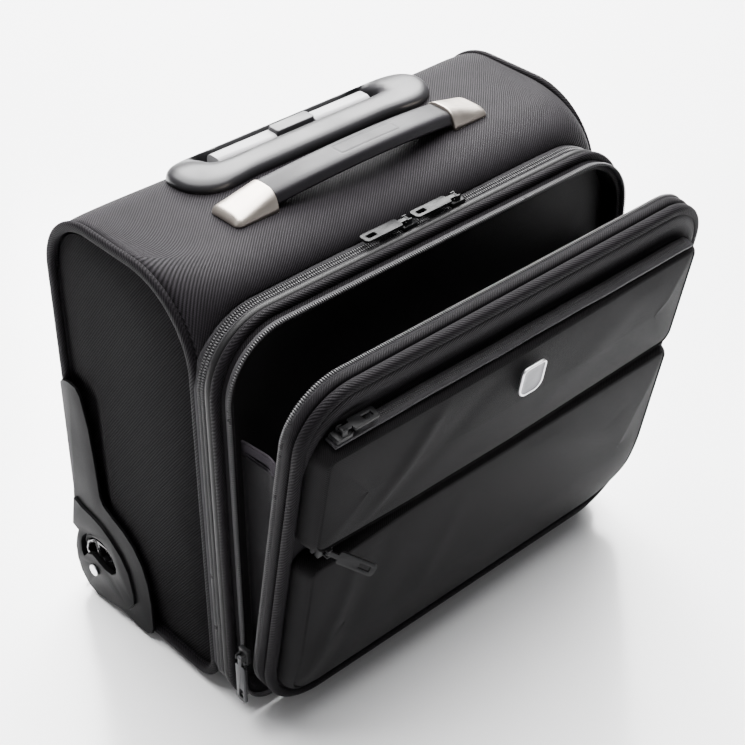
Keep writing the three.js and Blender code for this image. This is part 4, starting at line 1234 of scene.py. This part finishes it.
gusset_start = body_place(0.0, GUSSET_LID_Y, 150 * MM)
gusset_end = panel_place(0.0, GUSSET_PANEL_Y, 150 * MM)
gusset_lining = thin_lining("gusset_lining", (0.0075, 0.0066, 0.008))
ribbon_weave = twill_cloth("ribbon_weave", (0.02, 0.0175, 0.021), 0.9 * MM, 90, lift=2.4)
for side, sign in (("left", -1), ("right", 1)):
    gusset = new_piece(
        f"{side}_gusset_cloth", gusset_mesh(sign, 0.0, 0.97, 0.5 * MM), gusset_lining, None,
        [f"{side}_gusset"],
    )
    ribbon = new_piece(
        f"{side}_gusset_ribbon", gusset_mesh(sign, 0.955, 1.01, 1.7 * MM, rows=6), ribbon_weave, None,
    )
    for piece in (gusset, ribbon):
        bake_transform(piece)

# ---------------------------------------------------------------------------------------------
# Hinges of cloth: the lid hangs on the body, and the panel on the lid, by a strip of lining sewn
# along the lower edge.
# ---------------------------------------------------------------------------------------------

HINGE_HALF = 150 * MM
HINGE_THICK = 1.0 * MM


def hinge_strip(name, path):
    """A strip over the width that follows a short path of depth and height, in its thickness."""
    x = np.linspace(-HINGE_HALF, HINGE_HALF, 61)
    path = np.array(path) * MM
    ahead = np.gradient(path, axis=0)
    ahead /= np.linalg.norm(ahead, axis=1, keepdims=True)
    out = np.stack([ahead[:, 1], -ahead[:, 0]], -1)
    ring = np.concatenate([path + out * HINGE_THICK / 2, (path - out * HINGE_THICK / 2)[::-1]])
    places = body_place(x[:, None] + 0 * ring[None, :, 0], ring[None, :, 0], ring[None, :, 1])
    caps = np.repeat(places.mean(1, keepdims=True), places.shape[1], 1)
    places = np.concatenate([caps[:1], places, caps[-1:]], 0)
    along = np.concatenate([x[:1], x, x[-1:]])
    return merge_corners(cloth_mesh(name, places, (along, profile_length(ring)), False, True))


lid_strip = new_piece(
    "lid_hinge_cloth", hinge_strip("lid_hinge", [(9, 9.4), (4, 1.8), (0, 0.6), (-6, 1.6), (-14, 2.4)]),
    gusset_lining, None,
)
body_place(0.0, 6 * MM, 0.0)
body_place(0.0, -6 * MM, 0.0)
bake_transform(lid_strip)
panel_strip = new_piece(
    "panel_hinge_cloth",
    hinge_strip("panel_hinge", [(-24, 9.0), (-28, 3.4), (-32, 1.6), (-36, 4.2), (-38.6, 10.0)]),
    gusset_lining, None,
)
body_place(0.0, -29 * MM, 0.0)
body_place(0.0, -36 * MM, 0.0)
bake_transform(panel_strip)

# ---------------------------------------------------------------------------------------------
# Frame inside the body: a hoop of board that keeps the mouth square, and a pressed bracket that
# ties the feet of the pull-handle tubes.
# ---------------------------------------------------------------------------------------------


def moulded_plastic(name, colour, rough, grain=1500.0, strength=0.12, coat=0.0, gloss=0.4):
    """Moulded plastic: a fine spark grain in its surface and a slow drift in colour and gloss."""
    material, add, wire, shader = material_nodes(name)
    place = add("ShaderNodeTexCoord").outputs["Object"]
    spark = add("ShaderNodeTexNoise", {"Vector": place, "Scale": grain, "Detail": 2.0})
    drift = add("ShaderNodeTexNoise", {"Vector": place, "Scale": 22.0, "Detail": 4.0})
    tone = add(
        "ShaderNodeMix", {"Factor": drift.outputs["Fac"], 6: grey(colour, 0.86), 7: grey(colour, 1.14)},
        data_type="RGBA",
    )
    wire(tone.outputs[2], "Base Color")
    shine = add(
        "ShaderNodeMapRange",
        {"Value": drift.outputs["Fac"], "From Min": 0.3, "From Max": 0.7, "To Min": rough - 0.06,
         "To Max": rough + 0.08},
    )
    wire(shine.outputs[0], "Roughness")
    bump = add("ShaderNodeBump", {"Height": spark.outputs["Fac"], "Strength": strength, "Distance": 0.0003})
    wire(bump.outputs[0], "Normal")
    shader.inputs["Specular IOR Level"].default_value = gloss
    shader.inputs["Coat Weight"].default_value = coat
    shader.inputs["Coat Roughness"].default_value = 0.25
    return material


def finish_node(node, material):
    """Gives a frame node its finish through the slots of its object."""
    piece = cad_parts[node]
    if not piece.material_slots:
        piece.data.materials.append(material)
    for place in piece.material_slots:
        place.material = material


def eased_copy(node, name, material, body, width, segments=3, angle=25):
    """A frame node's shape with its corners merged, flat faces joined, and its edges rounded."""
    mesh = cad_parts[node].data.copy()
    mesh.materials.clear()
    work = bmesh.new()
    work.from_mesh(mesh)
    bmesh.ops.remove_doubles(work, verts=work.verts, dist=0.02 * MM)
    bmesh.ops.dissolve_limit(work, verts=work.verts, edges=work.edges, angle_limit=math.radians(1.5))
    for face in work.faces:
        face.smooth = True
    work.to_mesh(mesh)
    work.free()
    piece = new_piece(name, mesh, material, None, [node])
    ease = piece.modifiers.new("ease", "BEVEL")
    ease.width, ease.segments, ease.limit_method = width, segments, "ANGLE"
    ease.angle_limit, ease.harden_normals = math.radians(angle), True
    ease.use_clamp_overlap = True
    finish_modifiers(piece)
    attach(piece, body)
    return piece


black_board = moulded_plastic("black_board", (0.02, 0.02, 0.021), 0.55)
finish_node("frame_hoop", black_board)
finish_node("tube_foot_bracket", black_board)

# ---------------------------------------------------------------------------------------------
# Wheels: a moulded housing screwed to each lower back corner, a tyre of polyurethane on a spoked
# hub, and a steel axle. A fender is raised over the wheel and a window shows the spokes.
# ---------------------------------------------------------------------------------------------

housing_grey = moulded_plastic("housing_grey", (0.0036, 0.0035, 0.0038), 0.42, 1300.0, 0.18, gloss=0.04)
tyre_black = moulded_plastic("tyre_black", (0.009, 0.009, 0.0095), 0.6, 700.0, 0.25)
hub_black = moulded_plastic("hub_black", (0.014, 0.014, 0.015), 0.22, 1600.0, 0.05, coat=0.4)
axle_steel = satin_plate("axle_steel", (0.72, 0.72, 0.73), 0.26)
foot_rubber = moulded_plastic("foot_rubber", (0.03, 0.03, 0.031), 0.7, 900.0, 0.3)
for side in ("left", "right"):
    eased_copy(f"{side}_wheel_housing", f"{side}_housing", housing_grey, "case", 0.9 * MM)
    eased_copy(
        f"{side}_tyre", f"{side}_tyre_tread", tyre_black, f"{side}_wheel",
        0.7 * MM, 2, 15,
    )
    eased_copy(f"{side}_hub", f"{side}_hub_spokes", hub_black, f"{side}_wheel", 0.5 * MM, 2)
    eased_copy(f"{side}_axle", f"{side}_axle_screw", axle_steel, "case", 0.5 * MM, 3)
    eased_copy(f"{side}_foot", f"{side}_foot_pad", foot_rubber, "case", 0.8 * MM)

# ---------------------------------------------------------------------------------------------
# Pull handle: a moulded tray with two round lobes let into the top, drawn aluminium tubes in
# three stages, a light grip bar between them and a button in the middle of the bar.
# ---------------------------------------------------------------------------------------------

TRAY_RISE = 9.5 * MM
TRAY_LOBE = (99 * MM, 135 * MM, 31 * MM)
TRAY_WAIST = 106.5 * MM
TRAY_BACK = 171 * MM
TRAY_RECESS = ((-90 * MM, 137 * MM), (90 * MM, 166 * MM))
TRAY_FLOOR = 355 * MM


def even_loop(points, count):
    """A closed path of points walked in equal steps."""
    path = np.concatenate([points, points[:1]])
    length = profile_length(path)
    along = np.linspace(0, length[-1], count, endpoint=False)
    return np.stack([np.interp(along, length, path[:, k]) for k in (0, 1)], -1)


def tray_outline():
    """Outline of the tray: two arcs for the lobes, an S between lobe and waist, a straight back."""
    count = 360
    lobe_x, lobe_y, reach = TRAY_LOBE
    turn = np.radians(np.linspace(-90, 90, 50))
    right = np.stack([lobe_x + reach * np.cos(turn), lobe_y + reach * np.sin(turn)], -1)
    blend = np.linspace(0, 1, 24)
    fall = (TRAY_WAIST - (lobe_y - reach)) * (0.5 - 0.5 * np.cos(np.pi * blend))
    ess = np.stack([62 * MM + 37 * MM * (1 - blend), lobe_y - reach + fall], -1)[::-1]
    front_middle, back_corner = [[0, TRAY_WAIST]], [[lobe_x - 14 * MM, TRAY_BACK]]
    half = np.concatenate([front_middle, ess, right[1:], back_corner])
    other = half[::-1] * np.array([-1, 1])
    return even_loop(np.concatenate([half, other[:-1]]), count)


def top_height(y):
    """Height of the top of the body over its depth: level, then a quarter circle at the back."""
    radius = 60 * MM
    past = np.clip(y - (BACK_PLANE - radius), 0, radius * 0.999)
    return BODY_HEIGHT - radius + np.sqrt(radius**2 - past**2)


def tray_mesh():
    """A closed tray: a rolled rim between the outline and the recess, walls, a floor, an underside.

    Across the rim, from 0 at the outline to 1 at the recess, the height over the body's top is
    the rise times (1 - |2w - 1|^2.6)^(1/2.6), with the crest drawn towards the outline.
    """
    outer = tray_outline()
    (x0, y0), (x1, y1) = TRAY_RECESS
    inner, _, _, _ = rounded_loop(x0, y0, x1, y1, (9 * MM,) * 4, 1 * MM)
    inner = even_loop(inner, len(outer))
    share = (0.5 - 0.5 * np.cos(np.linspace(0, np.pi, 26)))[:, None]
    dome = (1 - np.abs(2 * share**0.85 - 1) ** 2.6) ** (1 / 2.6)
    flat = outer * (1 - share[..., None]) + inner * share[..., None]
    rim = body_place(flat[..., 0], flat[..., 1], top_height(flat[..., 1]) + 0.4 * MM + TRAY_RISE * dome)
    middle = np.array([0.0, (y0 + y1) / 2])
    recess_top = rim[-1]

    def ring(loop, pull, height):
        spot = loop * (1 - pull) + middle * pull
        return body_place(spot[:, 0], spot[:, 1], height + 0 * spot[:, 0])

    wall = inner + (inner - middle) / np.linalg.norm(inner - middle, axis=1, keepdims=True) * 2 * MM
    rows = [
        ring(inner, 1.0, TRAY_FLOOR - 3 * MM), ring(wall, 0.0, TRAY_FLOOR - 3 * MM),
        ring(wall, 0.0, TRAY_FLOOR + 4 * MM), ring(outer, 0.02, top_height(outer[:, 1]) - 1 * MM),
        *rim,
        recess_top * 0.5 + ring(inner, 0.0, TRAY_FLOOR) * 0.5, ring(inner, 0.0, TRAY_FLOOR + 1.5 * MM),
        ring(inner, 0.04, TRAY_FLOOR), ring(inner, 1.0, TRAY_FLOOR),
    ]
    along = np.arange(len(outer)) * 2 * MM
    return merge_corners(
        cloth_mesh("tray", np.stack(rows), (np.arange(len(rows)) * MM, along), close_v=True, flip=True)
    )


tray_grey = moulded_plastic("tray_grey", (0.016, 0.0155, 0.017), 0.34, 1400.0, 0.1, gloss=0.25)
grip_grey = moulded_plastic("grip_grey", (0.3, 0.297, 0.306), 0.38, 1400.0, 0.08)
button_grey = moulded_plastic("button_grey", (0.025, 0.024, 0.027), 0.4, 1400.0, 0.1)
tube_metal = satin_plate("tube_metal", (0.3, 0.305, 0.31), 0.3)
new_piece("handle_tray", tray_mesh(), tray_grey, "case", ["trolley_tray"])
eased_copy("trolley_grip", "pull_grip", grip_grey, "trolley_inner", 1.0 * MM)
eased_copy("grip_button", "pull_button", button_grey, "push_button", 1.2 * MM)
for side in ("left", "right"):
    for stage in ("outer", "middle", "inner"):
        finish_node(f"{side}_{stage}_tube", tube_metal)

# ---------------------------------------------------------------------------------------------
# Carry handle: a steel strap in a moulded rubber grip, arched over the top. Plated caps cover its
# ends and the screws. A shallow panel is pressed into the middle of the grip.
# ---------------------------------------------------------------------------------------------

HANDLE_HALF = 131 * MM
HANDLE_RISE = 22 * MM
HANDLE_FOOT = BODY_HEIGHT + 3 * MM
GRIP_REACH = 92.2 * MM
HANDLE_MIDDLE = 72 * MM
HANDLE_LEAN = 10 * MM       # the arch leans forward by this much in its middle


def arch_height(x):
    """Height of the handle's upper face: a parabola over the handle's half length."""
    return HANDLE_FOOT + HANDLE_RISE * (1 - (x / HANDLE_HALF) ** 2)


def grip_mesh():
    """A rounded bar carried along the leaning arch, with a pressed panel on its upper face.

    The section is a rounded oval 31 mm wide and 12 mm thick, a little narrower at the top. Along
    the border of a rounded rectangle of 62 by 13 mm a groove of 0.5 mm is pressed.
    """
    x = np.linspace(-GRIP_REACH, GRIP_REACH, 220)[:, None]
    section = oval_profile(15.5 * MM, 6 * MM, 120, squareness=4.2)
    side, high = section[None, :, 0], section[None, :, 1]
    across = side * (1 - 0.13 * np.clip(high / (6 * MM) + 0.4, 0, 1.4)) + 0 * x
    lean = HANDLE_LEAN * np.maximum(1 - (x / GRIP_REACH) ** 2, 0)
    past = np.hypot(np.maximum(np.abs(x - 4 * MM) - 29 * MM, 0), np.maximum(np.abs(across) - 4.5 * MM, 0))
    inside = np.minimum(31 * MM - np.abs(x - 4 * MM), 6.5 * MM - np.abs(across))
    border = np.where(past > 0, 2 * MM - past, inside)
    groove = 0.5 * MM * np.exp(-((border / (0.7 * MM)) ** 2)) * (high > 4 * MM)
    z = arch_height(x) - 6 * MM + high * (1 + 0.06 * (x / GRIP_REACH) ** 2) - groove
    places = body_place(x + 0 * across, HANDLE_MIDDLE + across - lean, z)
    caps = np.repeat(places.mean(1, keepdims=True), places.shape[1], 1)
    places = np.concatenate([caps[:1], places, caps[-1:]], 0)
    along = np.concatenate([x[:1, 0], x[:, 0], x[-1:, 0]])
    return merge_corners(cloth_mesh("grip", places, (along, profile_length(section)), False, True))


def cap_mesh(sign):
    """A plated cap: half an oval section that falls and narrows from the grip to its toe.

    The section over the body is |a/w|^n + |b/h|^n = 1 with n = 3.4. Its height falls in a line
    from 17 to 6.5 mm, and over the last 5 mm both numbers follow a quarter circle to the toe.
    """
    x = np.concatenate([[92.4 * MM], np.linspace(92.4 * MM, 93.2 * MM, 3), np.linspace(94 * MM, 127 * MM, 18),
                        127 * MM + 5 * MM * np.sin(np.linspace(0.1, np.pi / 2, 10))])[:, None]
    share = np.clip((x - 92.4 * MM) / (39 * MM), 0, 1)
    toe = np.sqrt(1 - np.clip((x - 127 * MM) / (5.05 * MM), 0, 1) ** 2)
    mouth = 1 - 0.08 * (1 - np.clip((x - 92.4 * MM) / (0.8 * MM), 0, 1)) ** 2
    turn = np.linspace(0, np.pi, 49)
    power = 2 / 3.4
    side = np.sign(np.cos(turn)) * np.abs(np.cos(turn)) ** power
    high = np.abs(np.sin(turn)) ** power
    half = (18.8 * MM - 1.2 * MM * share) * (1 - 0.35 * (1 - toe)) * mouth
    tall = (17 * MM - 10.5 * MM * share) * toe * mouth
    slope = 1 - 0.22 * high * np.clip(tall / (17 * MM), 0, 1)
    places = body_place(sign * x + 0 * side, HANDLE_MIDDLE - 0.5 * MM + half * side * slope,
                        BODY_HEIGHT + 0.4 * MM + tall * high)
    caps = np.repeat(places.mean(1, keepdims=True), places.shape[1], 1)
    places = np.concatenate([caps[:1], places, caps[-1:]], 0)
    along = np.concatenate([x[:1, 0], x[:, 0], x[-1:, 0]])
    return merge_corners(
        cloth_mesh("cap", places, (along, turn * 15 * MM), False, True, flip=sign > 0)
    )


handle_rubber = moulded_plastic("handle_rubber", (0.012, 0.011, 0.013), 0.44, 1100.0, 0.14, gloss=0.2)
satin_nickel = satin_plate("satin_nickel", (0.52, 0.47, 0.42), 0.36)
new_piece("handle_grip", grip_mesh(), handle_rubber, "case", ["carry_handle_grip"])
finish_node("carry_handle_strap", axle_steel)
for side, sign in (("left", -1), ("right", 1)):
    new_piece(
        f"{side}_handle_cap", cap_mesh(sign), satin_nickel, "case",
        [f"{side}_carry_handle_cap"],
    )

# ---------------------------------------------------------------------------------------------
# Zip sliders and pulls: cast zinc, painted black; the pull of the front zip is bare zinc.
# ---------------------------------------------------------------------------------------------

painted_zinc = moulded_plastic("painted_zinc", (0.0075, 0.0075, 0.008), 0.42, 1200.0, 0.06,
                               gloss=0.14)
bare_zinc = satin_plate("bare_zinc", (0.03, 0.03, 0.032), 0.34, 1200.0)
PULL_DROOP = math.radians(-28)
LOWER_PULL_PIVOT = (-188 * MM, -36.8 * MM, 214 * MM)
for zip_name in ("main_left", "main_right", "front_zip", "upper_pocket", "lower_pocket"):
    pull_metal = bare_zinc if zip_name == "front_zip" else painted_zinc
    eased_copy(
        f"{zip_name}_slider", f"{zip_name}_slider_cast", painted_zinc, f"{zip_name}_slider_body",
        0.5 * MM, 2,
    )
    pull = eased_copy(
        f"{zip_name}_tab", f"{zip_name}_pull", pull_metal, f"{zip_name}_tab_body",
        0.3 * MM, 2,
    )
    if zip_name == "lower_pocket":
        pivot = Vector(panel_place(*LOWER_PULL_PIVOT))
        outward = Vector(panel_place(0.0, -1.0, 0.0) - panel_place(0.0, 0.0, 0.0))
        droop = Matrix.Rotation(PULL_DROOP, 4, outward)
        pull.data.transform(Matrix.Translation(pivot) @ droop @ Matrix.Translation(-pivot))

# ---------------------------------------------------------------------------------------------
# Setting: a glossy white table, a bright backdrop of light, and the camera.
# ---------------------------------------------------------------------------------------------

def table_white(name):
    """White lacquer: even and pale, with a faint drift in its gloss."""
    material, add, wire, _ = material_nodes(name)
    place = add("ShaderNodeTexCoord").outputs["Object"]
    drift = add("ShaderNodeTexNoise", {"Vector": place, "Scale": 3.0, "Detail": 3.0})
    shine = add("ShaderNodeMapRange", {"Value": drift.outputs["Fac"], "To Min": 0.16, "To Max": 0.24})
    wire(shine.outputs[0], "Roughness")
    tone = add(
        "ShaderNodeMix",
        {"Factor": drift.outputs["Fac"], 6: (0.86, 0.86, 0.87, 1), 7: (0.9, 0.9, 0.905, 1)},
        data_type="RGBA",
    )
    wire(tone.outputs[2], "Base Color")
    return material


floor_mesh = bpy.data.meshes.new("table")
REACH = 25.0
floor_mesh.from_pydata(
    [(-REACH, -REACH, 0), (REACH, -REACH, 0), (REACH, REACH, 0), (-REACH, REACH, 0)], [], [(0, 1, 2, 3)],
)
table = bpy.data.objects.new("table", floor_mesh)
bpy.context.scene.collection.objects.link(table)
floor_mesh.materials.append(table_white("table_white"))


def soft_light(name, place, aim, size, power):
    """A square of soft light at a place, turned to shine on a point."""
    lamp = bpy.data.lights.new(name, "AREA")
    lamp.size, lamp.energy = size, power
    holder = bpy.data.objects.new(name, lamp)
    bpy.context.scene.collection.objects.link(holder)
    holder.location = place
    holder.rotation_euler = (Vector(aim) - Vector(place)).to_track_quat("-Z", "Y").to_euler()


soft_light("overhead", (0.6, 0.9, 3.0), (0, 0, 0.2), 4.0, 800)
soft_light("back_top", (1.3, 1.6, 1.75), (0, 0.1, 0.35), 1.5, 200)
soft_light("left_side", (-2.4, 0.5, 1.3), (0, 0, 0.2), 1.4, 5)

world = bpy.data.worlds.new("studio")
bpy.context.scene.world = world
world.use_nodes = True
world.node_tree.nodes["Background"].inputs["Color"].default_value = (1.0, 0.99, 1.0, 1)
world.node_tree.nodes["Background"].inputs["Strength"].default_value = 0.3

lens = bpy.data.cameras.new("camera")
lens.sensor_width = 36.0
lens.lens = 83.3
camera = bpy.data.objects.new("camera", lens)
bpy.context.scene.collection.objects.link(camera)
camera.location = (-0.794, -0.8463, 1.064)
camera.rotation_euler = Vector((0.5448, 0.5925, -0.5934)).to_track_quat("-Z", "Y").to_euler()
bpy.context.scene.camera = camera
